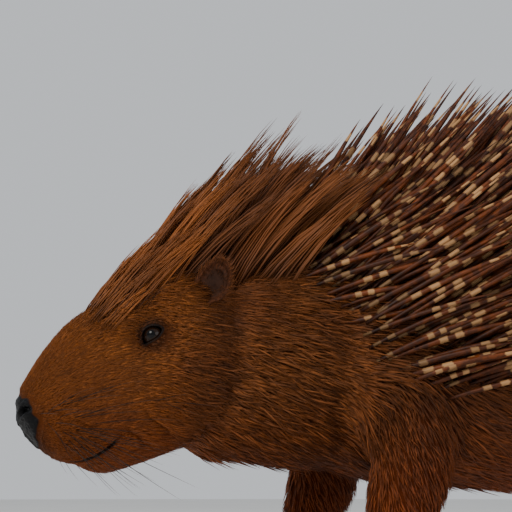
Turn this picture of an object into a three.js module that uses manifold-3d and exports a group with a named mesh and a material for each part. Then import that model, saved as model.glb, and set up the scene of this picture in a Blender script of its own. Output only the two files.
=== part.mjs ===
// A crested porcupine at life size, walking with its head lowered and its quills half raised.
// Millimetres, +Z up. It faces -X, its left side is towards -Y, and its soles stand on z = 0.
// Each form is lofted from a few named sections, and neighbours are trimmed to a thin joint.
import * as THREE from "three";
import { mergeVertices } from "three/addons/utils/BufferGeometryUtils.js";
import Module from "manifold-3d";

const wasm = await Module();
wasm.setup();
const radians = THREE.MathUtils.degToRad;
const { lerp, clamp } = THREE.MathUtils;

// Driving sizes
const JOINT = 0.3; // gap between neighbouring nodes
const ROOT_SINK = 7; // how deep a quill or a lock is rooted below the skin
const STEEPEST = 0.3; // least share of a quill's direction that points out of the skin
const HIP_HEIGHT = 200;

// Sections across each form: at is the place along its axis, top and bottom are heights there,
// half is the half-width and waist the height of the widest place.
// crown and keel round the upper and the lower half: 2 is an ellipse, more is squarer.
const TORSO = {
  crown: 2.2,
  keel: 2.4,
  around: 26,
  spacing: 60,
  sections: [
    { at: -172, top: 212, bottom: 142, half: 36, waist: 176 },
    { at: -158, top: 243, bottom: 118, half: 60, waist: 174 },
    { at: -128, top: 266, bottom: 105, half: 80, waist: 170 },
    { at: -80, top: 282, bottom: 97, half: 93, waist: 168 },
    { at: -20, top: 292, bottom: 92, half: 101, waist: 168 },
    { at: 50, top: 295, bottom: 88, half: 107, waist: 168 },
    { at: 120, top: 299, bottom: 88, half: 111, waist: 170 },
    { at: 190, top: 292, bottom: 96, half: 109, waist: 174 },
    { at: 250, top: 271, bottom: 112, half: 98, waist: 180 },
    { at: 295, top: 243, bottom: 134, half: 75, waist: 185 },
    { at: 325, top: 214, bottom: 158, half: 44, waist: 186 },
    { at: 336, top: 198, bottom: 173, half: 19, waist: 186 },
  ],
};
const NECK = {
  crown: 2.1,
  keel: 2.2,
  around: 24,
  spacing: 26,
  sections: [
    { at: -252, top: 232, bottom: 122, half: 40, waist: 180 },
    { at: -230, top: 251, bottom: 114, half: 52, waist: 180 },
    { at: -198, top: 264, bottom: 110, half: 61, waist: 180 },
    { at: -158, top: 270, bottom: 106, half: 70, waist: 178 },
    { at: -120, top: 270, bottom: 107, half: 74, waist: 176 },
  ],
};
// The head has its own axis, from the front of the nose back, pitched down at the nose.
const HEAD = {
  crown: 2.35,
  keel: 2.4,
  around: 28,
  spacing: 14,
  pitch: radians(28),
  origin: { x: -356, z: 134 },
  sections: [
    { at: 0, top: 6, bottom: -10, half: 9, waist: -2 },
    { at: 2.5, top: 14, bottom: -19, half: 18, waist: -3 },
    { at: 8, top: 22, bottom: -29, half: 24, waist: -4 },
    { at: 17, top: 29, bottom: -40, half: 29, waist: -6 },
    { at: 31, top: 37, bottom: -52, half: 33, waist: -9 },
    { at: 50, top: 44, bottom: -61, half: 37, waist: -12 },
    { at: 74, top: 50, bottom: -65, half: 43, waist: -13 },
    { at: 100, top: 56, bottom: -66, half: 50, waist: -13 },
    { at: 128, top: 61, bottom: -65, half: 55, waist: -12 },
    { at: 152, top: 59, bottom: -60, half: 53, waist: -8 },
    { at: 172, top: 49, bottom: -47, half: 44, waist: -4 },
    { at: 186, top: 30, bottom: -28, half: 27, waist: -2 },
  ],
  // Where it swells, or sinks if by is negative, with a bell of the given reach
  swells: [
    { at: 5, up: 3, out: 15, reach: 8, by: 4 }, // wing of the nostril
    { at: 14, up: -26, out: 17, reach: 13, by: 3 }, // upper lip
    { at: 27, up: -17, out: 30, reach: 16, by: 4.5 }, // whisker pad
    { at: 15, up: -42, out: 0, reach: 9, by: -4 }, // under the nose
    { at: 34, up: -54, out: 6, reach: 14, by: 3 }, // chin
    { at: 62, up: 46, out: 0, reach: 28, by: 4 }, // arched nose bone
    { at: 92, up: 38, out: 32, reach: 15, by: 3.5 }, // brow
    { at: 103, up: 14, out: 47, reach: 16, by: -4 }, // hollow of the eye
    { at: 116, up: -28, out: 50, reach: 28, by: 6 }, // cheek
  ],
};
const EYE = { at: 104, turn: radians(70), radius: 8.2, sunk: 5.4 };
// The lids' shell is long times as long as high, and an opening in it shows the eye
const LID = { thick: 2, long: 1.2, opensOut: 1, openLong: 7.4, openHigh: 5.4, openDeep: 6.5 };
const NOSTRIL = { at: 3.6, turn: radians(62), slant: 0.5, long: 6, wide: 2.4, deep: 5 };
const PHILTRUM = { at: 5, up: -15, wide: 0.9, high: 10, deep: 3.6 };
// The mouth runs from one corner round under the nose to the other
const MOUTH = {
  front: 14,
  corner: 56,
  turn: radians(120),
  backBend: 1.5, // how late it runs back
  riseBend: 0.8, // how soon it turns up
  steps: 14,
  lip: 2.7,
  thinnest: 0.2, // share of the lips that is left at the corners
  sunk: 0.45,
  slit: 0.75,
  deep: 3.6,
  slitReach: 0.93, // share of the lips' length that the slit runs
};
const EAR = {
  at: 153,
  turn: radians(66),
  thick: 6.5,
  wide: 14,
  high: 17,
  rim: 2.4,
  bowl: 0.62, // how far out the bowl's middle lies, as a share of the thickness
  lift: 7,
  clear: 3,
};
// An ear's own up, and the way that its cup opens, for the right side
const EAR_UP = { x: 0.42, y: 0.42, z: 0.86 };
const EAR_OPENS = { x: -0.62, y: 0.76, z: 0.05 };
const TWIST = 0.13; // turns a ball's facets off those of another with the same middle
// Limbs as points down the leg: wide is the half-width, deep the half-depth fore and aft
const FORELEG = [
  { x: -100, y: 50, z: 200, wide: 20, deep: 36 },
  { x: -94, y: 66, z: 158, wide: 27, deep: 40 },
  { x: -88, y: 72, z: 116, wide: 26, deep: 33 },
  { x: -97, y: 70, z: 76, wide: 24, deep: 27 },
  { x: -106, y: 68, z: 42, wide: 20, deep: 22 },
  { x: -109, y: 68, z: 18, wide: 19, deep: 21 },
];
const HINDLEG = [
  { x: 190, y: 50, z: 235, wide: 24, deep: 52 },
  { x: 182, y: 76, z: 180, wide: 36, deep: 62 },
  { x: 168, y: 88, z: 128, wide: 31, deep: 49 },
  { x: 184, y: 88, z: 88, wide: 25, deep: 33 },
  { x: 205, y: 86, z: 52, wide: 19, deep: 24 },
  { x: 209, y: 86, z: 20, wide: 18, deep: 22 },
];
const FOREFOOT = { long: 40, wide: 24, high: 18, ahead: 10, toes: 4, toe: 22, claw: 15, spread: 17 };
const HINDFOOT = { long: 52, wide: 24, high: 18, ahead: 22, toes: 5, toe: 21, claw: 13, spread: 13 };
// A toe's root as shares of the palm, its knuckle and end as shares of its length, and their heights
const TOE = {
  back: 0.62,
  apart: 1.45,
  shorter: 0.4,
  knuckle: 0.6,
  end: 1.15,
  rootHigh: 8,
  knuckleHigh: 9.5,
  endHigh: 5.5,
  rings: [
    { t: 0, wide: 6, deep: 6.5 },
    { t: 0.6, wide: 6.2, deep: 6.6 },
    { t: 1, wide: 3.8, deep: 4 },
  ],
};
// A claw starts inside the toe and curves down to its tip
const CLAW = {
  inside: 3,
  bend: 0.55,
  high: 6.4,
  bendHigh: 5.8,
  tipHigh: 1.4,
  rings: [
    { t: 0, wide: 2.6, deep: 3 },
    { t: 0.5, wide: 2, deep: 2.4 },
  ],
};
const GROUND = [160, 80, 40]; // half-sizes of the block below a foot that flattens its sole
// How far each sole has swung from standing; the far hind foot is stepping forward
const STRIDE = { front_left: 4, front_right: -16, hind_left: 34, hind_right: -74 };
const LIMB = { stepsPerPoint: 1.6, corners: 12 };
const TAIL = [
  { x: 306, y: 0, z: 204, wide: 36, deep: 28 },
  { x: 344, y: 0, z: 195, wide: 31, deep: 26 },
  { x: 380, y: 0, z: 181, wide: 23, deep: 20 },
  { x: 406, y: 0, z: 167, wide: 15, deep: 13 },
  { x: 418, y: 0, z: 159, wide: 7, deep: 7 },
];

// Quills of the back, the rattle of the tail and the crest
// Quills from the neck over the back. Lengths and angles are those of the top row, in degrees.
const QUILL = {
  spacing: 25.5,
  thick: 2.9,
  from: -156,
  to: 316,
  onNeck: -126, // the last root on the neck
  onTorso: -110, // the first root on the torso
  edge: radians(95), // how far round the body they reach
  frontEdge: 0.5, // share of that at the very front
  fullEdge: -105, // where they reach all the way
  length: 155, // at the front and the rump
  longer: 70, // how much longer they are between
  varied: [0.85, 1.12], // shortest and longest share of that length
  lowShorter: 0.52, // share that the lowest row lacks
  pitch: [64, 26], // how steep they stand at the front and at the rump
  lowFlatter: 0.72, // share that the lowest row lies flatter
  splay: 30, // how far the lowest row spreads sideways
  endSplay: 0.8, // share of that at the tips
  bend: 9,
  root: 0.65, // share of the thickness at the root
  thickest: 0.42, // share of the way to the thickest place
};
// Crest locks, erect over the head and neck and curving back at their tips
const CREST = {
  spacing: 18,
  wide: 6.2,
  thick: 1.4,
  edge: radians(46),
  sideShorter: 0.28, // share that the outermost locks lack
  varied: [0.88, 1.1],
  lower: 14,
  splay: 20,
  bend: 24,
  roll: [25, 85], // how far a lock's flat side is turned, in degrees
  fullLength: 90, // shorter locks are narrower, down to the least share
  narrowest: 0.6,
};
// A lock's rings: share of the way, and shares of its width and thickness
const LOCK_RINGS = [
  { t: 0, wide: 0.75, deep: 1 },
  { t: 0.35, wide: 1, deep: 1 },
  { t: 0.7, wide: 0.75, deep: 0.8 },
];
const HEAD_CREST = { from: 90, to: 170, length: [62, 140], pitch: [70, 75] };
const NECK_CREST = { from: -210, to: -168, length: [138, 128], pitch: [74, 67] };
const SWAY = 6; // how far a strand's aim strays, in degrees
// Hollow quills round the end of the tail
const RATTLE = {
  count: 16,
  thick: 3,
  stalk: 1.2,
  stalkEnd: 1.56,
  short: 42,
  long: 78,
  from: 0.5, // first and last root as shares of the tail
  to: 0.97,
  turn: 2.4, // round the tail from one to the next, in radians
  onwards: 1.1, // how much they point along the tail
  outwards: [0.75, 0.35], // how much they point out, by the share of the tail
  flatter: 0.8, // less up and down than sideways
  lifted: 0.2,
  swells: [0.6, 0.7], // where a stalk widens into its quill
};
const STAGGER = 0.25; // how far each row of roots is shifted, as a share of the spacing
const STRAY = 0.3; // how far a root strays, as a share of the spacing
const TRIES = 8; // draws for a strand before its root is left bare
const STRETCHES = 5; // straight stretches that stand for a strand where its distances are taken
const SIDE_MARGIN = 1.25; // how much thicker a strand counts beside its own kind
const BESIDE = 12; // strands further apart than this aren't compared

// Forms and solids

// Cubic through the sections' values at a place along the axis
function sizeAt(sections, at, key) {
  const last = sections.length - 1;
  const found = sections.findIndex((section) => section.at >= at);
  const i = clamp(found < 0 ? last : found, 1, last);
  const a = sections[i - 1];
  const b = sections[i];
  const before = sections[Math.max(i - 2, 0)];
  const after = sections[Math.min(i + 1, last)];
  const span = b.at - a.at;
  const slopeA = (b[key] - before[key]) / (b.at - before.at);
  const slopeB = (after[key] - a[key]) / (after.at - a.at);
  const t = clamp((at - a.at) / span, 0, 1);
  const t2 = t * t;
  const t3 = t2 * t;
  const ends = (2 * t3 - 3 * t2 + 1) * a[key] + (3 * t2 - 2 * t3) * b[key];
  return ends + span * ((t3 - 2 * t2 + t) * slopeA + (t3 - t2) * slopeB);
}

// From a form's own along, out and up to the animal's frame
function placed(form, along, out, up) {
  if (!form.origin) return new THREE.Vector3(along, out, up);
  const c = Math.cos(form.pitch);
  const s = Math.sin(form.pitch);
  return new THREE.Vector3(form.origin.x + along * c - up * s, out, form.origin.z + along * s + up * c);
}

// A point on a form's surface. turn is the angle round the axis, 0 on top and positive towards +Y.
function surfacePoint(form, at, turn, grow = 0) {
  const size = (key) => sizeAt(form.sections, at, key);
  const waist = size("waist");
  const sine = Math.sin(turn);
  const cosine = Math.cos(turn);
  const power = 2 / (cosine > 0 ? form.crown : form.keel);
  const reach = (cosine > 0 ? size("top") - waist : waist - size("bottom")) + grow;
  let out = Math.sign(sine) * Math.abs(sine) ** power * (size("half") + grow);
  let up = waist + Math.sign(cosine) * Math.abs(cosine) ** power * reach;
  for (const swell of form.swells ?? []) {
    const away = Math.hypot(at - swell.at, up - swell.up, Math.abs(out) - swell.out);
    const push = swell.by * Math.exp(-((away / swell.reach) ** 2));
    out += push * sine;
    up += push * cosine;
  }
  return placed(form, at, out, up);
}

// The outward normal there, and the direction along the skin towards the tail
function surfaceLie(form, at, turn) {
  const step = 0.02;
  const back = surfacePoint(form, at + 1, turn).sub(surfacePoint(form, at - 1, turn)).normalize();
  const round = surfacePoint(form, at, turn + step).sub(surfacePoint(form, at, turn - step));
  return { back, out: back.clone().cross(round).normalize() };
}

// A solid facing out, whichever way its triangles were wound
function solidOf(position, index) {
  const build = (triangles) =>
    new wasm.Manifold(
      new wasm.Mesh({
        numProp: 3,
        vertProperties: new Float32Array(position),
        triVerts: new Uint32Array(triangles),
      }),
    );
  const made = build(index);
  if (made.volume() > 0) return made;
  const turned = [];
  for (let i = 0; i < index.length; i += 3) turned.push(index[i], index[i + 2], index[i + 1]);
  return build(turned);
}

// A closed body over rings of equal count. Each end closes at its middle, or the far end at a tip.
function overRings(rings, tip) {
  const count = rings[0].length;
  const position = [];
  const index = [];
  const put = (point) => position.push(point.x, point.y, point.z) / 3 - 1;
  rings.flat().forEach(put);
  for (let r = 0; r + 1 < rings.length; r++)
    for (let k = 0; k < count; k++) {
      const a = r * count + k;
      const b = r * count + ((k + 1) % count);
      index.push(a, b, a + count, b, b + count, a + count);
    }
  const middle = (ring) => ring.reduce((sum, p) => sum.add(p), new THREE.Vector3()).divideScalar(count);
  const start = put(middle(rings[0]));
  const end = put(tip ?? middle(rings.at(-1)));
  const first = (rings.length - 1) * count;
  for (let k = 0; k < count; k++) {
    const next = (k + 1) % count;
    index.push(start, next, k, end, first + k, first + next);
  }
  return solidOf(position, index);
}

function lofted(form, grow = 0) {
  const stops = [form.sections[0].at];
  form.sections.slice(1).forEach((section, i) => {
    const from = form.sections[i].at;
    const steps = Math.ceil((section.at - from) / form.spacing);
    for (let step = 1; step <= steps; step++) stops.push(lerp(from, section.at, step / steps));
  });
  const axis = placed(form, 1, 0, 0).sub(placed(form, 0, 0, 0));
  const rings = stops.map((at, i) =>
    Array.from({ length: form.around }, (_, k) =>
      surfacePoint(form, at, (2 * Math.PI * k) / form.around, grow).addScaledVector(
        axis,
        grow * ((2 * i) / (stops.length - 1) - 1),
      ),
    ),
  );
  return overRings(rings);
}

// A tapered body along a curve. Each ring has its share t of the way, half-width and half-depth.
function tapered(curve, side, rings, corners, pointed = false) {
  const made = rings.map(({ t, wide, deep }) => {
    const centre = curve.getPoint(t);
    const ahead = curve.getTangent(t);
    const across = side.clone().addScaledVector(ahead, -side.dot(ahead)).normalize();
    const over = new THREE.Vector3().crossVectors(ahead, across);
    return Array.from({ length: corners }, (_, k) => {
      const angle = (2 * Math.PI * k) / corners;
      return centre
        .clone()
        .addScaledVector(across, wide * Math.cos(angle))
        .addScaledVector(over, deep * Math.sin(angle));
    });
  });
  return overRings(made, pointed ? curve.getPoint(1) : undefined);
}

// A ball stretched along three given directions, with its poles on the second and its facets
// turned by twist, so that those of one ball don't lie on those of another
function stretchedBall(centre, directions, radii, round = 12, high = 8, twist = 0) {
  const scaled = directions.map((direction, i) => direction.clone().multiplyScalar(radii[i]));
  const matrix = new THREE.Matrix4().makeBasis(...scaled).setPosition(centre);
  const ball = new THREE.SphereGeometry(1, round, high, twist).applyMatrix4(matrix);
  ball.deleteAttribute("normal");
  ball.deleteAttribute("uv");
  const merged = mergeVertices(ball, 1e-3);
  return solidOf([...merged.attributes.position.array], [...merged.index.array]);
}

const joined = (solids) => wasm.Manifold.union(solids);

// The largest closed body of a solid, without scraps
function largest(solid) {
  return solid.decompose().reduce((best, body) => (body.volume() > best.volume() ? body : best));
}

// Seeded draw, the same on every run
function seeded(seed) {
  let state = seed >>> 0;
  return () => {
    state = (state + 0x6d2b79f5) >>> 0;
    let v = Math.imul(state ^ (state >>> 15), 1 | state);
    v = (v + Math.imul(v ^ (v >>> 7), 61 | v)) ^ v;
    return ((v ^ (v >>> 14)) >>> 0) / 4294967296;
  };
}

const SIDEWAYS = new THREE.Vector3(0, 1, 0);
const FORWARD = new THREE.Vector3(-1, 0, 0);
const UPWARD = new THREE.Vector3(0, 0, 1);

// Torso, head and neck

const torsoFit = lofted(TORSO, JOINT);
const headFit = lofted(HEAD, JOINT);
const neckFlesh = largest(lofted(NECK).subtract(torsoFit).subtract(headFit));

// The three directions of a feature on the skin: along it, over it and out of it
function faceOf(form, at, turn) {
  const { back, out } = surfaceLie(form, at, turn);
  return { point: surfacePoint(form, at, turn), along: back, over: out.clone().cross(back), out };
}

// An eye's place, sunk into the head
function eyeball(side, grow = 0) {
  const { point, along, over, out } = faceOf(HEAD, EYE.at, side * EYE.turn);
  const centre = point.addScaledVector(out, -EYE.sunk);
  const radius = EYE.radius + grow;
  const ball = stretchedBall(centre, [along, out, over], [radius, radius, radius]);
  return { centre, along, over, out, ball };
}

// A band along the line of the mouth as far as a share of its length. sizes gives its half-width,
// half-depth and lift off the skin at edge, which is 0 in front and 1 at the corners.
function seam(reach, sizes, corners) {
  const stops = Array.from({ length: MOUTH.steps + 1 }, (_, i) => {
    const s = reach * ((2 * i) / MOUTH.steps - 1);
    const edge = Math.abs(s);
    const at = lerp(MOUTH.front, MOUTH.corner, edge ** MOUTH.backBend);
    const turn = lerp(Math.PI, MOUTH.turn, edge ** MOUTH.riseBend) * (s < 0 ? -1 : 1);
    return { edge, ...faceOf(HEAD, at, turn) };
  });
  const rings = stops.map(({ edge, point, out }, i) => {
    const before = stops[Math.max(i - 1, 0)].point;
    const after = stops[Math.min(i + 1, stops.length - 1)].point;
    const across = after.clone().sub(before).cross(out).normalize();
    const { wide, deep, lift } = sizes(edge);
    return Array.from({ length: corners }, (_, k) => {
      const angle = (2 * Math.PI * k) / corners;
      return point
        .clone()
        .addScaledVector(across, wide * Math.cos(angle))
        .addScaledVector(out, lift + deep * Math.sin(angle));
    });
  });
  return overRings(rings);
}

function headWithFeatures() {
  const added = [lofted(HEAD)];
  const removed = [];
  for (const side of [-1, 1]) {
    const { centre, along, over, out, ball } = eyeball(side, JOINT);
    const shell = EYE.radius + LID.thick;
    added.push(stretchedBall(centre, [along, over, out], [shell * LID.long, shell, shell]));
    const window = centre.clone().addScaledVector(out, EYE.radius + LID.opensOut);
    removed.push(ball);
    const opening = [LID.openLong, LID.openDeep, LID.openHigh];
    removed.push(stretchedBall(window, [along, out, over], opening, 12, 6, TWIST));
    const nose = faceOf(HEAD, NOSTRIL.at, side * NOSTRIL.turn);
    const slant = nose.along.clone().addScaledVector(nose.over, NOSTRIL.slant * side).normalize();
    const beside = nose.out.clone().cross(slant).normalize();
    const sizes = [NOSTRIL.long, NOSTRIL.wide, NOSTRIL.deep];
    removed.push(stretchedBall(nose.point, [slant, beside, nose.out], sizes, 10, 6));
  }
  const plump = (edge) => MOUTH.lip * Math.sqrt(Math.max(MOUTH.thinnest ** 2, 1 - edge ** 4));
  const lips = (edge) => ({ wide: plump(edge), deep: plump(edge), lift: -MOUTH.sunk * plump(edge) });
  added.push(seam(1, lips, 6));
  removed.push(seam(MOUTH.slitReach, () => ({ wide: MOUTH.slit, deep: MOUTH.deep, lift: 0 }), 4));
  const cleft = placed(HEAD, PHILTRUM.at, 0, PHILTRUM.up);
  const sizes = [PHILTRUM.deep, PHILTRUM.wide, PHILTRUM.high];
  removed.push(stretchedBall(cleft, [FORWARD, SIDEWAYS, UPWARD], sizes, 8, 6));
  return joined(added).subtract(joined(removed));
}

// Ears: a shallow cup that opens outwards and forwards
function ear(side) {
  const { point, out } = faceOf(HEAD, EAR.at, side * EAR.turn);
  const tall = new THREE.Vector3(EAR_UP.x, EAR_UP.y * side, EAR_UP.z).normalize();
  const facing = new THREE.Vector3(EAR_OPENS.x, EAR_OPENS.y * side, EAR_OPENS.z);
  facing.addScaledVector(tall, -facing.dot(tall)).normalize();
  const across = new THREE.Vector3().crossVectors(tall, facing);
  const centre = point.clone().addScaledVector(tall, EAR.lift).addScaledVector(out, EAR.clear);
  const outer = stretchedBall(centre, [facing, across, tall], [EAR.thick, EAR.wide, EAR.high], 10, 7);
  const bowl = centre.clone().addScaledVector(facing, EAR.thick * EAR.bowl);
  const inside = [EAR.wide - EAR.rim, EAR.thick, EAR.high - EAR.rim];
  const inner = stretchedBall(bowl, [across, facing, tall], inside, 10, 5, TWIST);
  const fit = [EAR.thick, EAR.wide, EAR.high].map((size) => size + 2 * JOINT);
  return {
    solid: largest(outer.subtract(inner).subtract(headFit)),
    fit: stretchedBall(centre, [facing, across, tall], fit),
  };
}

// Legs and feet

function limb(points, side, stride, grow = 0) {
  const swing = (z) => stride * Math.max(0, 1 - z / HIP_HEIGHT);
  const stops = points.map((p) => new THREE.Vector3(p.x + swing(p.z), side * p.y, p.z));
  const curve = new THREE.CatmullRomCurve3(stops);
  const steps = Math.round(LIMB.stepsPerPoint * (points.length - 1));
  const rings = Array.from({ length: steps + 1 }, (_, i) => {
    const place = (i / steps) * (points.length - 1);
    const low = Math.min(Math.floor(place), points.length - 2);
    const mix = (key) => lerp(points[low][key], points[low + 1][key], place - low) + grow;
    return { t: i / steps, wide: mix("wide"), deep: mix("deep") };
  });
  return { solid: tapered(curve, SIDEWAYS, rings, LIMB.corners), curve, end: stops.at(-1) };
}

// A low palm, toes side by side and a claw on each, with flats at the ground
function foot(shape, ankle, side) {
  const middle = new THREE.Vector3(ankle.x - shape.ahead, ankle.y, shape.high * 0.5);
  const axes = [FORWARD, SIDEWAYS, UPWARD];
  const pieces = [stretchedBall(middle, axes, [shape.long, shape.wide, shape.high], 12, 6)];
  for (let i = 0; i < shape.toes; i++) {
    const share = i / (shape.toes - 1) - 0.5;
    const fan = 2 * share * radians(shape.spread);
    const ahead = new THREE.Vector3(-Math.cos(fan), Math.sin(fan), 0);
    const beside = new THREE.Vector3(-TOE.back * shape.long, TOE.apart * share * shape.wide, 0);
    const root = middle.clone().add(beside);
    const reach = shape.toe * (1 - TOE.shorter * Math.abs(share));
    const knuckle = root.clone().addScaledVector(ahead, TOE.knuckle * reach).setZ(TOE.knuckleHigh);
    const end = root.clone().addScaledVector(ahead, TOE.end * reach).setZ(TOE.endHigh);
    const toe = new THREE.CatmullRomCurve3([root.clone().setZ(TOE.rootHigh), knuckle, end]);
    pieces.push(tapered(toe, SIDEWAYS, TOE.rings, 6));
    const claw = new THREE.QuadraticBezierCurve3(
      end.clone().addScaledVector(ahead, -CLAW.inside).setZ(CLAW.high),
      end.clone().addScaledVector(ahead, CLAW.bend * shape.claw).setZ(CLAW.bendHigh),
      end.clone().addScaledVector(ahead, shape.claw).setZ(CLAW.tipHigh),
    );
    pieces.push(tapered(claw, SIDEWAYS, CLAW.rings, 3, true));
  }
  const below = new THREE.Vector3(middle.x, middle.y, -GROUND[2]);
  const ground = solidOf(...boxOf(below, GROUND));
  return joined(pieces).subtract(ground);
}

// Corners and triangles of a box from its centre and half-sizes
function boxOf(centre, half) {
  const box = new THREE.BoxGeometry(...half.map((size) => 2 * size)).translate(...centre);
  box.deleteAttribute("normal");
  box.deleteAttribute("uv");
  const merged = mergeVertices(box, 1e-3);
  return [[...merged.attributes.position.array], [...merged.index.array]];
}

// Quills and locks

// Strands already grown, each as short straight stretches with its thickness
const grown = [];

function stretchesOf(curve, count) {
  const stops = curve.getPoints(count);
  return stops.slice(1).map((stop, i) => new THREE.Line3(stops[i], stop));
}

// Strands of one form may lie over one another, and those of two forms keep well apart
function isClear(form, lines, size, reach) {
  const near = (other) => other.middle.distanceTo(reach.middle) < other.half + reach.half + BESIDE;
  return grown.filter(near).every((other) => {
    const apart = other.form === form ? size.thin + other.thin : size.wide + other.wide;
    const least = (apart + JOINT) ** 2;
    return other.lines.every((a) => lines.every((b) => a.distanceSqToLine3(b) > least));
  });
}

// A line that starts below the skin and bends from its first aim to its last
function strandCurve(root, aim, lastAim, length) {
  const start = root.clone().addScaledVector(aim, -ROOT_SINK);
  const bend = root.clone().addScaledVector(aim, 0.5 * length);
  const end = bend.clone().addScaledVector(lastAim, 0.5 * length);
  return new THREE.QuadraticBezierCurve3(start, bend, end);
}

// A direction that points back, up by pitch and out to its side by splay, both in degrees
function aimed(pitch, splay, side) {
  const flat = Math.cos(radians(pitch));
  const outwards = side * Math.sin(radians(splay)) * flat;
  return new THREE.Vector3(flat * Math.cos(radians(splay)), outwards, Math.sin(radians(pitch)));
}

const quillRings = (thick) => [
  { t: 0, wide: QUILL.root * thick, deep: QUILL.root * thick },
  { t: QUILL.thickest, wide: thick, deep: thick },
];
const lockRings = (wide, thick) =>
  LOCK_RINGS.map((ring) => ({ t: ring.t, wide: ring.wide * wide, deep: ring.deep * thick }));

// Grows one strand on a form. Each draw that would cross another strand is dropped for a new one.
function grow(form, at, turn, shapeOf) {
  const { point, out } = faceOf(form, at, turn);
  for (let tries = 0; tries < TRIES; tries++) {
    const shape = shapeOf();
    const aim = shape.aim.clone();
    const steep = aim.dot(out);
    if (steep < STEEPEST) aim.addScaledVector(out, STEEPEST - steep).normalize();
    const curve = strandCurve(point, aim, shape.lastAim, shape.length);
    const lines = stretchesOf(curve, STRETCHES);
    const reach = { middle: curve.getPoint(0.5), half: 0.5 * shape.length + ROOT_SINK };
    const size = { wide: shape.rings[1].wide, thin: SIDE_MARGIN * shape.rings[1].deep };
    if (!isClear(form, lines, size, reach)) continue;
    grown.push({ form, lines, ...size, ...reach });
    const side = aim.clone().cross(out).normalize().applyAxisAngle(aim, shape.roll);
    return [tapered(curve, side, shape.rings, shape.corners, true)];
  }
  return [];
}

// Staggered roots over a form between two places, out to the edge angle on each side
function roots(form, from, to, spacing, edge, draw) {
  const found = [];
  const rows = Math.round((to - from) / spacing);
  for (let row = 0; row <= rows; row++) {
    const at = lerp(from, to, row / rows);
    const size = (key) => sizeAt(form.sections, at, key);
    const girth = 0.5 * (size("half") + size("top") - size("waist"));
    const reach = edge(at);
    const count = Math.max(2, Math.round((2 * reach * girth) / spacing));
    for (let k = 0; k < count; k++) {
      const shift = (row % 2 ? STAGGER : -STAGGER) + STRAY * (draw() - 0.5);
      const turn = lerp(-reach, reach, clamp((k + 0.5 + shift) / count, 0, 1));
      found.push({ at: clamp(at + STRAY * spacing * (draw() - 0.5), from, to), turn });
    }
  }
  return found;
}

// Share of the way from a to b, held between 0 and 1
const share = (value, a, b) => clamp((value - a) / (b - a), 0, 1);

function crestOn(form, crest, seed) {
  const draw = seeded(seed);
  const edge = () => CREST.edge;
  return roots(form, crest.from, crest.to, CREST.spacing, edge, draw).flatMap(({ at, turn }) => {
    const along = share(at, crest.from, crest.to);
    const off = Math.abs(turn) / CREST.edge;
    const side = Math.sign(turn);
    return grow(form, at, turn, () => {
      const longest = lerp(...crest.length, along);
      const length = longest * (1 - CREST.sideShorter * off) * lerp(...CREST.varied, draw());
      const narrowed = clamp(length / CREST.fullLength, CREST.narrowest, 1);
      const pitch = lerp(...crest.pitch, along) - CREST.lower * off + SWAY * (draw() - 0.5);
      const splay = CREST.splay * off + SWAY * (draw() - 0.5);
      return {
        aim: aimed(pitch, splay, side),
        lastAim: aimed(pitch - CREST.bend, splay, side),
        length,
        roll: radians(lerp(...CREST.roll, draw())) * side,
        rings: lockRings(CREST.wide * narrowed, CREST.thick),
        corners: 4,
      };
    });
  });
}

// How far round the body the quills reach, less far near the nape
const quillEdge = (at) => QUILL.edge * lerp(QUILL.frontEdge, 1, share(at, QUILL.from, QUILL.fullEdge));

function quillsOn(form, from, to, seed) {
  const draw = seeded(seed);
  return roots(form, from, to, QUILL.spacing, quillEdge, draw).flatMap(({ at, turn }) => {
    const along = share(at, QUILL.from, QUILL.to);
    const off = Math.abs(turn) / quillEdge(at);
    const side = Math.sign(turn);
    return grow(form, at, turn, () => {
      const longest = QUILL.length + QUILL.longer * Math.sin(Math.PI * lerp(0.05, 0.95, along));
      const length = longest * (1 - QUILL.lowShorter * off ** 2) * lerp(...QUILL.varied, draw());
      const lowered = 1 - QUILL.lowFlatter * off ** 1.5;
      const pitch = lerp(...QUILL.pitch, along) * lowered + SWAY * (draw() - 0.5);
      const splay = QUILL.splay * off + SWAY * (draw() - 0.5);
      return {
        aim: aimed(pitch, splay, side),
        lastAim: aimed(pitch - QUILL.bend, QUILL.endSplay * splay, side),
        length,
        roll: 0,
        rings: quillRings(QUILL.thick),
        corners: 3,
      };
    });
  });
}

// The tail is short, and its tip carries a bunch of blunt, hollow quills on thin stalks
function tailWithRattle() {
  const { solid, curve: spine } = limb(TAIL, 1, 0);
  const draw = seeded(23);
  const pieces = [solid.subtract(torsoFit)];
  for (let i = 0; i < RATTLE.count; i++) {
    const t = lerp(RATTLE.from, RATTLE.to, i / (RATTLE.count - 1));
    const turn = RATTLE.turn * i;
    const centre = spine.getPoint(t);
    const high = RATTLE.flatter * Math.cos(turn) + RATTLE.lifted;
    const out = new THREE.Vector3(0, Math.sin(turn), high).normalize();
    const aim = spine.getTangent(t).multiplyScalar(RATTLE.onwards);
    aim.addScaledVector(out, lerp(...RATTLE.outwards, t)).normalize();
    const length = lerp(RATTLE.long, RATTLE.short, draw());
    const curve = new THREE.LineCurve3(centre, centre.clone().addScaledVector(aim, length));
    const rings = [
      { t: 0, wide: RATTLE.stalk, deep: RATTLE.stalk },
      { t: RATTLE.swells[0], wide: RATTLE.stalkEnd, deep: RATTLE.stalkEnd },
      { t: RATTLE.swells[1], wide: RATTLE.thick, deep: RATTLE.thick },
      { t: 1, wide: RATTLE.thick, deep: RATTLE.thick },
    ];
    grown.push({
      lines: stretchesOf(curve, 1),
      wide: RATTLE.thick,
      thin: RATTLE.thick,
      middle: curve.getPoint(0.5),
      half: 0.5 * length,
    });
    pieces.push(tapered(curve, SIDEWAYS, rings, 3));
  }
  return largest(joined(pieces));
}

// The nodes

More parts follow.
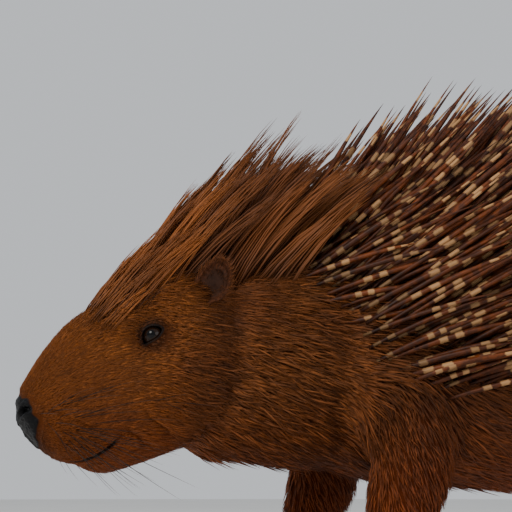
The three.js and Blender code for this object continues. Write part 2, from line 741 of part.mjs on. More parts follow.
const solids = new Map();
const limbFits = [limb(TAIL, 1, 0, JOINT).solid];
for (const [name, points, shape, side] of [
  ["front_left", FORELEG, FOREFOOT, -1],
  ["front_right", FORELEG, FOREFOOT, 1],
  ["hind_left", HINDLEG, HINDFOOT, -1],
  ["hind_right", HINDLEG, HINDFOOT, 1],
]) {
  const leg = limb(points, side, STRIDE[name]);
  const fit = limb(points, side, STRIDE[name], JOINT).solid;
  limbFits.push(fit);
  solids.set("leg_" + name, largest(leg.solid.subtract(torsoFit)));
  solids.set("foot_" + name, largest(foot(shape, leg.end, side).subtract(fit)));
}
for (const [name, side] of [["left", -1], ["right", 1]]) {
  const { solid, fit } = ear(side);
  limbFits.push(fit);
  solids.set("ear_" + name, solid);
  solids.set("eye_" + name, eyeball(side).ball);
}
solids.set("tail", tailWithRattle());

// Strands are cut clear of the limbs, the ears and the other forms of the body
function dressed(flesh, strands, others) {
  const clear = joined(strands).subtract(joined([...others, ...limbFits]));
  return largest(flesh.add(clear));
}
const neckFit = lofted(NECK, JOINT);
const headCrest = crestOn(HEAD, HEAD_CREST, 3);
const neckStrands = [
  ...crestOn(NECK, NECK_CREST, 5),
  ...quillsOn(NECK, QUILL.from, QUILL.onNeck, 6),
];
const backQuills = quillsOn(TORSO, QUILL.onTorso, QUILL.to, 7);
solids.set("head", dressed(headWithFeatures(), headCrest, [neckFit, torsoFit]));
solids.set("neck", dressed(neckFlesh, neckStrands, [headFit, torsoFit]));
solids.set("torso", dressed(lofted(TORSO), backQuills, [headFit, neckFit]));

// Materials by what the node shows most
const FINISHES = {
  quill: { color: 0x4a3020, roughness: 0.5 },
  coat: { color: 0x5a3a1c, roughness: 0.85 },
  skin: { color: 0x3a2a22, roughness: 0.7 },
  eye: { color: 0x0c0a08, roughness: 0.1 },
};
const finishOf = (name) => {
  if (name === "torso" || name === "tail") return FINISHES.quill;
  if (name.startsWith("eye")) return FINISHES.eye;
  if (name.startsWith("foot") || name.startsWith("ear")) return FINISHES.skin;
  return FINISHES.coat;
};

const porcupine = new THREE.Group();
for (const [name, solid] of solids) {
  const made = solid.getMesh();
  const geometry = new THREE.BufferGeometry();
  geometry.setAttribute("position", new THREE.BufferAttribute(made.vertProperties, 3));
  geometry.setIndex(new THREE.BufferAttribute(made.triVerts, 1));
  geometry.computeVertexNormals();
  const mesh = new THREE.Mesh(geometry, new THREE.MeshStandardMaterial({ ...finishOf(name), metalness: 0 }));
  mesh.name = name;
  porcupine.add(mesh);
}

// The origin is under the middle of the whole animal, on the ground
const middle = new THREE.Box3().setFromObject(porcupine).getCenter(new THREE.Vector3());
porcupine.position.set(-middle.x, -middle.y, 0);
const standing = new THREE.Group();
standing.add(porcupine);

export default standing;
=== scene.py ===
import math

import bmesh
import bpy
import numpy as np
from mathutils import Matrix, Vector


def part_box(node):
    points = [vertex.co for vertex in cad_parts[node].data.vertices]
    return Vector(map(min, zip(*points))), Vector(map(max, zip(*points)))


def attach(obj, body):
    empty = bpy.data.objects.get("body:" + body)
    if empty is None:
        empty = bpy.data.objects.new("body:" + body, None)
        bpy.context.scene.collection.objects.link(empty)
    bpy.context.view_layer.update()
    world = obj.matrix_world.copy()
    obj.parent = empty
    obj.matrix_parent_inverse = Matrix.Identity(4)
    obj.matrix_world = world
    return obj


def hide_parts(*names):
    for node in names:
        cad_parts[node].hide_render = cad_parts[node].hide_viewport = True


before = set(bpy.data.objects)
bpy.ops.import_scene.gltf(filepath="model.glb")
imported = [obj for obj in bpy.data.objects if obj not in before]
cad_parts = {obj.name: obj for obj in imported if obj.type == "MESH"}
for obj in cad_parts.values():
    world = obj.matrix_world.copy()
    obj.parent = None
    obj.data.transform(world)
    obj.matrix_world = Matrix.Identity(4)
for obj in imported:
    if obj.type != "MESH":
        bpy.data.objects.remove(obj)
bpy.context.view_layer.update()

# A crested porcupine, life size, standing and facing -X.
# Tables are in millimetres in the animal's own frame. to_scene() brings points to the scene.

MM = 0.001
TURN = 2 * math.pi
UP = np.array([0.0, 0.0, 1.0])
SIDEWAYS = np.array([0.0, 1.0, 0.0])
SIDES = ((-1, "left"), (1, "right"))

# Forms of the body as sections: at, top, bottom, half-width and height of the widest place
TORSO = {
    "crown": 2.2,
    "keel": 2.4,
    "sections": [
        (-172, 212, 142, 36, 176),
        (-158, 243, 118, 60, 174),
        (-128, 266, 105, 80, 170),
        (-80, 282, 97, 93, 168),
        (-20, 292, 92, 101, 168),
        (50, 295, 88, 107, 168),
        (120, 299, 88, 111, 170),
        (190, 292, 96, 109, 174),
        (250, 271, 112, 98, 180),
        (295, 243, 134, 75, 185),
        (325, 214, 158, 44, 186),
        (336, 198, 173, 19, 186),
    ],
}
NECK = {
    "crown": 2.1,
    "keel": 2.2,
    "sections": [
        (-252, 232, 122, 40, 180),
        (-230, 251, 114, 52, 180),
        (-198, 264, 110, 61, 180),
        (-158, 270, 106, 70, 178),
        (-120, 270, 107, 74, 176),
    ],
}
# The head's own axis runs from the front of the nose back, and its origin is that front
HEAD = {
    "crown": 2.35,
    "keel": 2.4,
    "pitch": math.radians(28),
    "origin": (-356, 134),
    "sections": [
        (0, 6, -10, 9, -2),
        (2.5, 14, -19, 18, -3),
        (8, 22, -29, 24, -4),
        (17, 29, -40, 29, -6),
        (31, 37, -52, 33, -9),
        (50, 44, -61, 37, -12),
        (74, 50, -65, 43, -13),
        (100, 56, -66, 50, -13),
        (128, 61, -65, 55, -12),
        (152, 59, -60, 53, -8),
        (172, 49, -47, 44, -4),
        (186, 30, -28, 27, -2),
    ],
    # Swells: at, up, out, reach and by how much
    "swells": [
        (5, 3, 15, 8, 4),
        (14, -26, 17, 13, 3),
        (27, -17, 30, 16, 4.5),
        (15, -42, 0, 9, -4),
        (34, -54, 6, 14, 3),
        (62, 46, 0, 28, 4),
        (92, 38, 32, 15, 3.5),
        (103, 14, 47, 16, -4),
        (116, -28, 50, 28, 6),
    ],
}
HEAD_END = 186
# Limbs as points down the leg: x, y, z, half-width and half-depth
FORELEG = [
    (-100, 50, 200, 20, 36),
    (-94, 66, 158, 27, 40),
    (-88, 72, 116, 26, 33),
    (-97, 70, 76, 24, 27),
    (-106, 68, 42, 20, 22),
    (-109, 68, 18, 19, 21),
]
HINDLEG = [
    (190, 50, 235, 24, 52),
    (182, 76, 180, 36, 62),
    (168, 88, 128, 31, 49),
    (184, 88, 88, 25, 33),
    (205, 86, 52, 19, 24),
    (209, 86, 20, 18, 22),
]
TAIL = [
    (306, 0, 204, 36, 28),
    (344, 0, 195, 31, 26),
    (380, 0, 181, 23, 20),
    (406, 0, 167, 15, 13),
    (418, 0, 159, 7, 7),
]
HIP_HEIGHT = 200
FOREFOOT = {"long": 40, "wide": 24, "high": 18, "ahead": 10, "toes": 4, "toe": 22, "claw": 15, "spread": 17}
HINDFOOT = {"long": 52, "wide": 24, "high": 18, "ahead": 22, "toes": 5, "toe": 21, "claw": 13, "spread": 13}
# Toes: places and lengths as shares of the foot's and the toe's own, and the heights of three joints
TOE = {"root": 0.62, "apart": 1.45, "shorter": 0.4, "knuckle": 0.6, "end": 1.15, "heights": (8, 9.5, 5.6)}
CLAW = {"thick": 2.5, "sunk": 3.5, "middle": 0.55, "heights": (6.3, 7.4, 1.2)}
# Legs: name, points, foot, side and how far the sole has swung from standing
LEGS = [
    ("front_left", FORELEG, FOREFOOT, -1, 4),
    ("front_right", FORELEG, FOREFOOT, 1, -16),
    ("hind_left", HINDLEG, HINDFOOT, -1, 34),
    ("hind_right", HINDLEG, HINDFOOT, 1, -74),
]

EYE = {"at": 104, "turn": math.radians(70), "radius": 8.2, "sunk": 5.4, "cornea": 0.75}
LID = {"radius": 9.9, "long": 7.9, "high": 5.3, "soft": 2.2, "thick": 1.6}
EAR = {"at": 153, "turn": math.radians(66), "wide": 14, "high": 17, "deep": 9, "lift": 7, "around": 96}
NOSTRIL = {"at": 3.6, "turn": math.radians(62), "long": 6.2, "wide": 2.5, "deep": 4.6, "reach": 16}
MOUTH = {"front": 14, "corner": 56, "turn": math.radians(120), "stops": 81, "deep": 2.4}
# The nose's bare pad: half-widths below and above, its middle, half-height and how far back it goes
PAD = {"low": 14, "wide": 28, "middle": -2, "high": 20, "back": 17}

# Folds of the face and throat: places along the head, turns in degrees, half-width and depth
FOLDS = [
    ((15, 30, 44), (78, 96, 112), 2.2, 1.0),
    ((58, 64, 66), (114, 126, 140), 2.6, 1.3),
    ((70, 80, 84), (104, 122, 142), 3.2, 1.0),
    ((84, 102, 122), (50, 45, 54), 2.6, 0.9),
    ((112, 120, 122), (66, 76, 88), 2.0, 0.7),
    ((90, 104, 116), (84, 90, 84), 2.0, 0.6),
    ((118, 132, 138), (96, 120, 150), 4.0, 1.6),
    ((104, 112, 118), (140, 160, 179), 4.0, 1.2),
    ((130, 134, 136), (146, 162, 179), 4.5, 1.6),
]

# How deep the coat is over the skin
DEPTH = {"torso": 5, "neck": 4, "head": 2.4, "leg": 3, "foot": 1.2, "tail": 3}
VOXEL = 3.4
FLOOR_GAP = 0.2
# Evening of the fused forms: toes stay sharper below a height, and the throat is filled further
EVEN = {
    "rounds": 14, "relaxed": 10, "toes_below": (26, 34),
    "throat": 172, "throat_reach": 30, "throat_rounds": 40,
}

# Quills from the neck over the back. Lengths and angles are those of the top row, in degrees.
QUILL = {
    "spacing": 8.6, "thick": 2.75, "sink": 7,
    "from": -156, "to": 316, "on_neck": -124, "on_torso": -118,
    "edge": math.radians(95), "front_edge": 0.5, "full_edge": -105,
    "length": 155, "longer": 70, "low_shorter": 0.52,
    "pitch": (64, 26), "low_flatter": 0.72, "splay": 30, "bend": 9,
}
# Crest bristles, erect over the head and neck and curving back at their tips
CREST = {
    "edge": math.radians(46), "spacing": 11.4, "bristles": 20,
    "thick": 0.75, "thin_below": 110, "spread": 9.6, "stray": 1.6, "sink": 7,
    "lower": 14, "side_shorter": 0.28, "splay": 20, "bend": 24,
}
# Parts of the crest: form, from and to along it, lengths, pitches and a seed
CREST_PARTS = [
    (HEAD, 84, 172, (50, 142), (66, 75), 3),
    (NECK, -214, -164, (140, 128), (74, 67), 5),
]
RATTLE = {"count": 38, "thick": 2.9, "short": 38, "long": 74}
WHISKER = {"rows": 5, "each": 7, "thick": 0.27, "thin": 0.22}
LASH = {"count": 26, "short": 4.0, "long": 6.0, "thick": 0.16}

# Profiles of strands: shares of the way along with the share of the radius there
QUILL_PROFILE = [(0, 0.55), (0.07, 0.66), (0.2, 0.9), (0.42, 1), (0.62, 0.92), (0.8, 0.6), (0.92, 0.27)]
CREST_PROFILE = [(0, 0.7), (0.2, 1), (0.45, 1), (0.7, 0.75), (0.88, 0.4)]
RATTLE_PROFILE = [
    (0, 0.36), (0.3, 0.42), (0.55, 0.5), (0.66, 0.86), (0.74, 1), (0.99, 1), (1, 0.92), (0.985, 0.74)
]
CLAW_PROFILE = [(0, 0.8), (0.12, 1), (0.3, 0.98), (0.5, 0.86), (0.7, 0.64), (0.85, 0.42), (0.95, 0.22)]
WHISKER_PROFILE = [(0, 1), (0.2, 0.9), (0.45, 0.7), (0.7, 0.45), (0.88, 0.25)]
TUFT_PROFILE = [(0, 0.75), (0.5, 1)]

# The short coat by the bone under it: which way it lies and how long it is
LIE = {
    "head": (math.cos(HEAD["pitch"]), 0, math.sin(HEAD["pitch"]) - 0.12),
    "neck": (1, 0, -0.32),
    "torso": (1, 0, -0.38),
    "tail": (1, 0, -0.3),
    "leg": (0.3, 0, -1),
    "foot": (-1, 0, -0.35),
}
LONG = {"head": 9.5, "neck": 19, "torso": 23, "tail": 15, "leg": 13, "foot": 6}
# Pieces of the coat: how many tufts, their half-width, a seed and between which angles they lift
TUFTS = {
    "face": (19500, 0.34, 31, (9, 20)),
    "cheek": (17500, 0.44, 41, (9, 20)),
    "body": (19500, 0.82, 51, (8, 17)),
    "legs": (19500, 0.55, 61, (9, 20)),
    "guard": (9000, 0.42, 65, (8, 22)),
    "ear": (2200, 0.3, 71, (12, 30)),
}
EAR_HAIR = 5.5

# Middle lines and radii that tell the bones apart: places and values there
TRUNK_HEIGHT = 180
HEAD_RADII = ((0, 20, 60, 128, 186), (16, 34, 44, 58, 50))
TORSO_RADII = ((-140, 50, 250, 320), (82, 106, 96, 40))
# The body's middle height by x, for the unwrap
SPINE = ((-356, -200, -60, 320, 420), (130, 180, 172, 180, 160))
# How wide each strand's patch is on the map for the bake
PATCH = {
    "tuft": 0.003, "quill": 0.024, "crest": 0.02, "rattle": 0.13,
    "claw": 0.18, "whisker": 0.08, "lash": 0.1,
}


def smooth(a, b, x):
    """0 below a, 1 above b and an even curve between."""
    t = np.clip((x - a) / (b - a), 0, 1)
    return t * t * (3 - 2 * t)


def bell(x, reach):
    return np.exp(-((x / reach) ** 2))


def mix(a, b, t):
    return a + (b - a) * t


def unit(v):
    return v / np.maximum(np.linalg.norm(v, axis=-1, keepdims=True), 1e-9)


def dot(a, b):
    return np.sum(a * b, axis=-1, keepdims=True)


# Surfaces of the forms


def size_at(form, at):
    """Top, bottom, half-width and widest height at places along a form, by a cubic through its sections."""
    table = np.array(form["sections"], float)
    stops = table[:, 0]
    last = len(stops) - 1
    at = np.clip(at, stops[0], stops[-1])
    i = np.clip(np.searchsorted(stops, at), 1, last)
    a, b = table[i - 1], table[i]
    before, after = table[np.maximum(i - 2, 0)], table[np.minimum(i + 1, last)]
    span = b[:, :1] - a[:, :1]
    slope_a = (b - before) / (b[:, :1] - before[:, :1])
    slope_b = (after - a) / (after[:, :1] - a[:, :1])
    t = (at[:, None] - a[:, :1]) / span
    ends = (2 * t**3 - 3 * t**2 + 1) * a + (3 * t**2 - 2 * t**3) * b
    return (ends + span * ((t**3 - 2 * t**2 + t) * slope_a + (t**3 - t**2) * slope_b))[:, 1:]


def placed(form, along, out, up):
    """From a form's own along, out and up to the animal's frame."""
    if "origin" not in form:
        return np.stack([along, out, up], axis=-1)
    c, s = math.cos(form["pitch"]), math.sin(form["pitch"])
    x, z = form["origin"]
    return np.stack([x + along * c - up * s, out, z + along * s + up * c], axis=-1)


HEAD_UP = placed(HEAD, 0.0, 0.0, 1.0) - placed(HEAD, 0.0, 0.0, 0.0)


def head_place(points):
    """Along, out and up on the head for points in the animal's frame."""
    c, s = math.cos(HEAD["pitch"]), math.sin(HEAD["pitch"])
    x = points[:, 0] - HEAD["origin"][0]
    z = points[:, 2] - HEAD["origin"][1]
    return x * c + z * s, points[:, 1], z * c - x * s


def surface_point(form, at, turn, grow=0.0):
    """Points on a form. turn goes round the axis, 0 on top and positive towards +Y."""
    at, turn = np.broadcast_arrays(np.atleast_1d(np.asarray(at, float)), np.asarray(turn, float))
    top, bottom, half, waist = size_at(form, at).T
    sine, cosine = np.sin(turn), np.cos(turn)
    power = np.where(cosine > 0, 2 / form["crown"], 2 / form["keel"])
    reach = np.where(cosine > 0, top - waist, waist - bottom) + grow
    out = np.sign(sine) * np.abs(sine) ** power * (half + grow)
    up = waist + np.sign(cosine) * np.abs(cosine) ** power * reach
    for swell_at, swell_up, swell_out, reach_of, by in form.get("swells", []):
        away = (at - swell_at) ** 2 + (up - swell_up) ** 2 + (np.abs(out) - swell_out) ** 2
        push = by * np.exp(-away / reach_of**2)
        out = out + push * sine
        up = up + push * cosine
    return placed(form, at, out, up)


def face_of(form, at, turn):
    """Point, direction towards the tail, direction over and outward normal at places on a form."""
    step = 0.02
    back = unit(surface_point(form, at + 1, turn) - surface_point(form, at - 1, turn))
    round_it = surface_point(form, at, turn + step) - surface_point(form, at, turn - step)
    out = unit(np.cross(back, round_it))
    return surface_point(form, at, turn), back, np.cross(out, back), out


def head_spot(at, turn):
    """One point on the head, with the directions back, over and out there."""
    return [v[0] for v in face_of(HEAD, np.array([at]), np.array([turn]))]


def eye_frame(side):
    """Centre of an eye, with the directions back along the head, up over the ball and out."""
    point, back, over, out = head_spot(EYE["at"], side * EYE["turn"])
    return point - out * EYE["sunk"], back, over * np.sign(over[2]), out


# The animal's frame is moved to where the frame's eye is
eye_box = [np.array(corner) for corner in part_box("eye_left")]
SHIFT = (eye_box[0] + eye_box[1]) / 2 / MM - eye_frame(-1)[0]
SHIFT[2] = 0


def to_scene(points):
    return (points + SHIFT) * MM


def through(points, count):
    """Even places on a smooth curve through points, as rows with every column of the points."""
    points = np.array(points, float)
    padded = np.vstack([2 * points[0] - points[1], points, 2 * points[-1] - points[-2]])
    place = np.linspace(0, len(points) - 1, count)
    i = np.minimum(place.astype(int), len(points) - 2)
    t = (place - i)[:, None]
    a, b, c, d = (padded[i + k] for k in range(4))
    return 0.5 * (2 * b + (c - a) * t + (2 * a - 5 * b + 4 * c - d) * t**2 + (3 * b - a - 3 * c + d) * t**3)


def leg_stops(points, side, stride):
    """A leg's points on its side, swung along the floor more the lower they are."""
    swung = [(x + stride * max(0, 1 - z / HIP_HEIGHT), y, z, *size) for x, y, z, *size in points]
    return [(x, side * y, *rest) for x, y, *rest in swung]


# Closed forms that the skin is fused from


def round_turn(count):
    """Even angles once round."""
    return np.linspace(0, TURN, count, endpoint=False)


def over_rings(rings):
    """A closed body over rings of equal count, as points and triangles."""
    rows, around, _ = rings.shape
    points = np.vstack([rings.reshape(-1, 3), rings[0].mean(axis=0), rings[-1].mean(axis=0)])
    row, k = np.meshgrid(np.arange(rows - 1), np.arange(around), indexing="ij")
    a = (row * around + k).ravel()
    b = (row * around + (k + 1) % around).ravel()
    sides = np.vstack([np.stack([a, b, a + around], 1), np.stack([b, b + around, a + around], 1)])
    k = np.arange(around)
    after = (k + 1) % around
    start = np.stack([np.full(around, rows * around), after, k], 1)
    first = (rows - 1) * around
    end = np.stack([np.full(around, rows * around + 1), first + k, first + after], 1)
    return points, np.vstack([sides, start, end])


def rings_on(centre, *parts):
    """Rings round a centre from directions, each with its grid of distances."""
    rings = centre
    for axis, grid in parts:
        rings = rings + axis * grid[..., None]
    return rings


def lofted(form, depth, around=72):
    """A form drawn in by the coat's depth."""
    first, last = form["sections"][0][0], form["sections"][-1][0]
    rows = int((last - first) / 4)
    at, turn = np.meshgrid(np.linspace(first, last, rows), round_turn(around), indexing="ij")
    rings = surface_point(form, at.ravel(), turn.ravel(), -depth).reshape(rows, around, 3)
    axis = placed(form, 1.0, 0.0, 0.0) - placed(form, 0.0, 0.0, 0.0)
    ends = np.linspace(depth, -depth, rows)[:, None, None]
    return over_rings(rings + ends * axis)


def limb(stops, depth, rows=40, around=36):
    """A round limb through stops of x, y, z, half-width and half-depth."""
    rows_of = through(stops, rows)
    centre = rows_of[:, :3]
    ahead = unit(np.gradient(centre, axis=0))
    across = unit(SIDEWAYS - ahead * dot(ahead, SIDEWAYS))
    over = np.cross(ahead, across)
    angle = round_turn(around)[None, :, None]
    wide = (rows_of[:, 3] - depth)[:, None, None]
    deep = (rows_of[:, 4] - depth)[:, None, None]
    side = across[:, None] * wide * np.cos(angle)
    return over_rings(centre[:, None] + side + over[:, None] * deep * np.sin(angle))


def ball(centre, radii, rows=14, around=20):
    """A ball with a radius along each axis."""
    down = np.linspace(0.02, math.pi - 0.02, rows)[:, None]
    turn = round_turn(around)[None, :]
    grids = [np.sin(down) * np.cos(turn), np.sin(down) * np.sin(turn), np.cos(down) * np.ones_like(turn)]
    parts = zip(np.eye(3) * np.array(radii, float)[:, None], grids)
    return over_rings(rings_on(np.asarray(centre, float), *parts))


def at_heights(points, heights):
    return [np.array([*point[:2], high]) for point, high in zip(points, heights)]


def toes_of(shape, ankle):
    """For each toe: the foot's middle, the toe's root, knuckle and end, and the direction ahead."""
    middle = np.array([ankle[0] - shape["ahead"], ankle[1], shape["high"] * 0.5])
    for i in range(shape["toes"]):
        share = i / (shape["toes"] - 1) - 0.5
        fan = 2 * share * math.radians(shape["spread"])
        ahead = np.array([-math.cos(fan), math.sin(fan), 0])
        root = middle + np.array([-TOE["root"] * shape["long"], TOE["apart"] * share * shape["wide"], 0])
        reach = shape["toe"] * (1 - TOE["shorter"] * abs(share))
        joints = (root, root + ahead * TOE["knuckle"] * reach, root + ahead * TOE["end"] * reach)
        yield middle, *at_heights(joints, TOE["heights"]), ahead


def foot_forms(shape, ankle, depth):
    """Palm, heel and toes with their pads."""
    forms = []
    for middle, root, knuckle, end, ahead in toes_of(shape, ankle):
        behind = mix(root, knuckle, 0.6)
        stops = [(*root, 6, 6.5), (*behind, 5.6, 6.0), (*knuckle, 6.3, 6.8), (*end, 4.2, 4.4)]
        forms.append(limb(stops, depth * 0.6, 14, 14))
        forms.append(ball([*(mix(knuckle, end, 0.45)[:2]), 4.4], (6.4, 5, 4.2)))
        forms.append(ball(end + ahead * 0.4, (3.6, 3.6, 3.9)))
    radii = [shape[size] - depth for size in ("long", "wide", "high")]
    forms.append(ball(middle, radii, 24, 36))
    return forms


def joined_forms(forms):
    """Many closed bodies as one set of points and triangles."""
    starts = np.cumsum([0] + [len(points) for points, _ in forms])
    triangles = [some + start for (_, some), start in zip(forms, starts)]
    return np.vstack([points for points, _ in forms]), np.vstack(triangles)


# Mesh helpers


def new_mesh(name, points, faces):
    """A smooth mesh from points in metres and faces of one size."""
    mesh = bpy.data.meshes.new(name)
    count, corners = faces.shape
    mesh.vertices.add(len(points))
    mesh.vertices.foreach_set("co", points.astype(np.float32).ravel())
    mesh.loops.add(count * corners)
    mesh.loops.foreach_set("vertex_index", faces.astype(np.int32).ravel())
    mesh.polygons.add(count)
    mesh.polygons.foreach_set("loop_start", np.arange(0, count * corners, corners, dtype=np.int32))
    mesh.update(calc_edges=True)
    mesh.polygons.foreach_set("use_smooth", np.ones(count, dtype=bool))
    return mesh


def linked(name, data):
    """A new object in the scene."""
    made = bpy.data.objects.new(name, data)
    bpy.context.collection.objects.link(made)
    return made


def shown(name, mesh, material, slot, *replaced):
    """A piece with its finish, in place of the frame's nodes that it stands for."""
    piece = linked(name, mesh)
    mesh.materials.append(material)
    if replaced:
        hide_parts(*replaced)
    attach(piece, "root")


def put_values(mesh, name, values):
    kind = "FLOAT_VECTOR" if values.ndim == 2 else "FLOAT"
    layer = mesh.attributes.new(name, kind, "POINT")
    field = "vector" if values.ndim == 2 else "value"
    layer.data.foreach_set(field, values.astype(np.float32).ravel())


def read(items, field, width, kind=np.float32):
    """One field of many mesh items as rows."""
    values = np.empty(width * len(items), kind)
    items.foreach_get(field, values)
    return values.reshape(-1, width)


def points_of(mesh):
    return read(mesh.vertices, "co", 3).astype(float)


def normals_of(mesh):
    return read(mesh.vertex_normals, "vector", 3).astype(float)


def edges_of(mesh):
    return read(mesh.edges, "vertices", 2, np.int32)


def triangles_of(mesh):
    mesh.calc_loop_triangles()
    return read(mesh.loop_triangles, "vertices", 3, np.int32)


def set_points(mesh, points):
    mesh.vertices.foreach_set("co", points.astype(np.float32).ravel())
    mesh.update()


def neighbour_mean(points, edges):
    count = len(points)
    total = np.zeros_like(points)
    for axis in range(3):
        for a, b in ((0, 1), (1, 0)):
            total[:, axis] += np.bincount(edges[:, a], points[edges[:, b], axis], count)
    degree = np.bincount(edges.ravel(), minlength=count)
    return total / np.maximum(degree, 1)[:, None]


def relaxed(points, edges, rounds, weight=1.0):
    """Smoothed without shrinking."""
    for _ in range(rounds):
        for step in (0.5, -0.52):
            points = points + step * weight * (neighbour_mean(points, edges) - points)
    return points


# The skin


def fused_skin():
    """All the flesh as one closed mesh, in the animal's frame and in millimetres."""
    forms = [lofted(TORSO, DEPTH["torso"]), lofted(NECK, DEPTH["neck"]), lofted(HEAD, DEPTH["head"])]
    forms.append(limb(TAIL, DEPTH["tail"]))
    for _, points, foot, side, stride in LEGS:
        stops = leg_stops(points, side, stride)
        forms.append(limb(stops, DEPTH["leg"]))
        forms.extend(foot_forms(foot, stops[-1], DEPTH["foot"]))
    points, triangles = joined_forms(forms)
    rough = linked("rough", new_mesh("rough", points * MM, triangles))
    remesh = rough.modifiers.new("even", "REMESH")
    remesh.mode = "VOXEL"
    remesh.voxel_size = VOXEL * MM
    evaluated = rough.evaluated_get(bpy.context.evaluated_depsgraph_get())
    mesh = bpy.data.meshes.new_from_object(evaluated)
    bpy.data.objects.remove(rough)
    points = points_of(mesh) / MM
    edges = edges_of(mesh)
    above_toes = smooth(*EVEN["toes_below"], points[:, 2])[:, None]
    throat = bell(head_place(points)[0] - EVEN["throat"], EVEN["throat_reach"])[:, None]
    for reach in [0.1 + 0.9 * above_toes] * EVEN["rounds"] + [throat] * EVEN["throat_rounds"]:
        inwards = neighbour_mean(points, edges) - points
        set_points(mesh, points * MM)
        hollow = (dot(inwards, normals_of(mesh)) > 0).astype(float)
        points = points + inwards * 0.5 * hollow * reach
    points = relaxed(points, edges, EVEN["relaxed"], 0.35 + 0.65 * above_toes)
    set_points(mesh, points * MM)
    return mesh


def refined(mesh, near):
    """Splits the faces whose corners are all in a zone, and evens them out."""
    points = points_of(mesh) / MM
    zone = near(points)
    work = bmesh.new()
    work.from_mesh(mesh)
    work.verts.ensure_lookup_table()
    edges = [e for e in work.edges if zone[e.verts[0].index] and zone[e.verts[1].index]]
    bmesh.ops.subdivide_edges(work, edges=edges, cuts=1, use_grid_fill=True, use_single_edge=True)
    big = [f for f in work.faces if len(f.verts) > 4]
    bmesh.ops.triangulate(work, faces=big)
    work.to_mesh(mesh)
    work.free()
    points = points_of(mesh) / MM
    points = relaxed(points, edges_of(mesh), 4, near(points).astype(float)[:, None])
    set_points(mesh, points * MM)


def near_points(points, marks, reach):
    """Which points lie within reach of any mark."""
    found = np.zeros(len(points), bool)
    for mark in marks:
        found |= np.sum((points - mark) ** 2, axis=1) < reach**2
    return found


def on_head(at, turn):
    """A polyline on the head's skin through places along it and turns round it."""
    stops = through(np.stack([at, turn], axis=1), 40)
    return surface_point(HEAD, stops[:, 0], stops[:, 1], -DEPTH["head"])


def mouth_line():
    """Points along the mouth, from one corner round the front to the other."""
    s = np.linspace(-1, 1, MOUTH["stops"])
    at = mix(MOUTH["front"], MOUTH["corner"], np.abs(s) ** 1.5)
    turn = mix(math.pi, MOUTH["turn"], np.abs(s) ** 0.8) * np.where(s < 0, -1, 1)
    return surface_point(HEAD, at, turn, -DEPTH["head"])


def nearest_spots(points, line):
    """For each piece of a polyline: its number, and the nearest share along it, place and distance."""
    for i in range(len(line) - 1):
        a, span = line[i], line[i + 1] - line[i]
        t = np.clip((points - a) @ span / (span @ span), 0, 1)
        spot = a + t[:, None] * span
        yield i, t, spot, np.linalg.norm(points - spot, axis=1)


def from_line(points, line):
    """Distance to a polyline, the nearest place on it and the share of its stops there."""
    best = np.full(len(points), 1e9)
    place = np.zeros_like(points)
    share = np.zeros(len(points))
    for i, t, spot, away in nearest_spots(points, line):
        nearer = away < best
        best[nearer] = away[nearer]
        place[nearer] = spot[nearer]
        share[nearer] = (i + t[nearer]) / (len(line) - 1)
    return best, place, share


def eye_places(points):
    """For each eye: the way out of it, and how far back, over, out and towards the lids' edge points lie."""
    for side in (-1, 1):
        centre, back, over, out = eye_frame(side)
        rel = points - centre
        u, v, w = rel @ back, rel @ over, rel @ out
        front = smooth(2, -8, u)
        v_bent = v + 1.5 * front * (u / LID["long"]) ** 2
        narrower = 1 - 0.16 * np.clip(u / LID["long"], -1, 1) ** 2
        high = LID["high"] * narrower * np.where(v_bent > 0, 1.0, 0.88)
        yield out, (u, v, w), np.sqrt((u / LID["long"]) ** 2 + (v_bent / high) ** 2)


def pebbles(points, pad):
    """Small rounded cells over the bare nose."""
    seeds = points[pad > 0.5][::23]
    height = np.zeros(len(points))
    chosen = np.flatnonzero(pad > 0.3)
    away = np.linalg.norm(points[chosen, None] - seeds[None], axis=2).min(axis=1)
    height[chosen] = 0.2 * pad[chosen] * np.clip(1 - (away / 1.1) ** 2, -0.5, 1)
    return height


def press_folds(points, push):
    """Folds with a low swell beside each."""
    for at, turns, wide, deep in FOLDS:
        for side in (-1, 1):
            away, _, share = from_line(points, on_head(np.array(at, float), side * np.radians(turns)))
            ends = smooth(0, 0.25, share) * smooth(1, 0.75, share)
            push += ends * (0.35 * deep * bell(away - 1.6 * wide, wide) - deep * bell(away, wide))


def press_mouth(points, push, bare, wet_and_shade):
    """The slit of the mouth between full lips, with a dimple at each corner."""
    line = mouth_line()
    away, spot, share = from_line(points, line)
    lips = smooth(1, 0.86, np.abs(2 * share - 1))
    above = dot(points - spot, HEAD_UP)[:, 0] > 0
    push += lips * bell(away - 2.6, 1.9) * np.where(above, 1.5, 0.9)
    push -= lips * MOUTH["deep"] * bell(away, 1.0)
    for corner in (line[0], line[-1]):
        push -= 1.2 * bell(np.linalg.norm(points - corner, axis=1), 2.4)
    np.maximum(bare, lips * smooth(2.2, 1.2, away), out=bare)
    # The slit is marked wet: glossy, and darkened as painted shade in place of a deeper cut
    np.maximum(wet_and_shade, 0.6 * lips * smooth(1.0, 0.3, away), out=wet_and_shade)


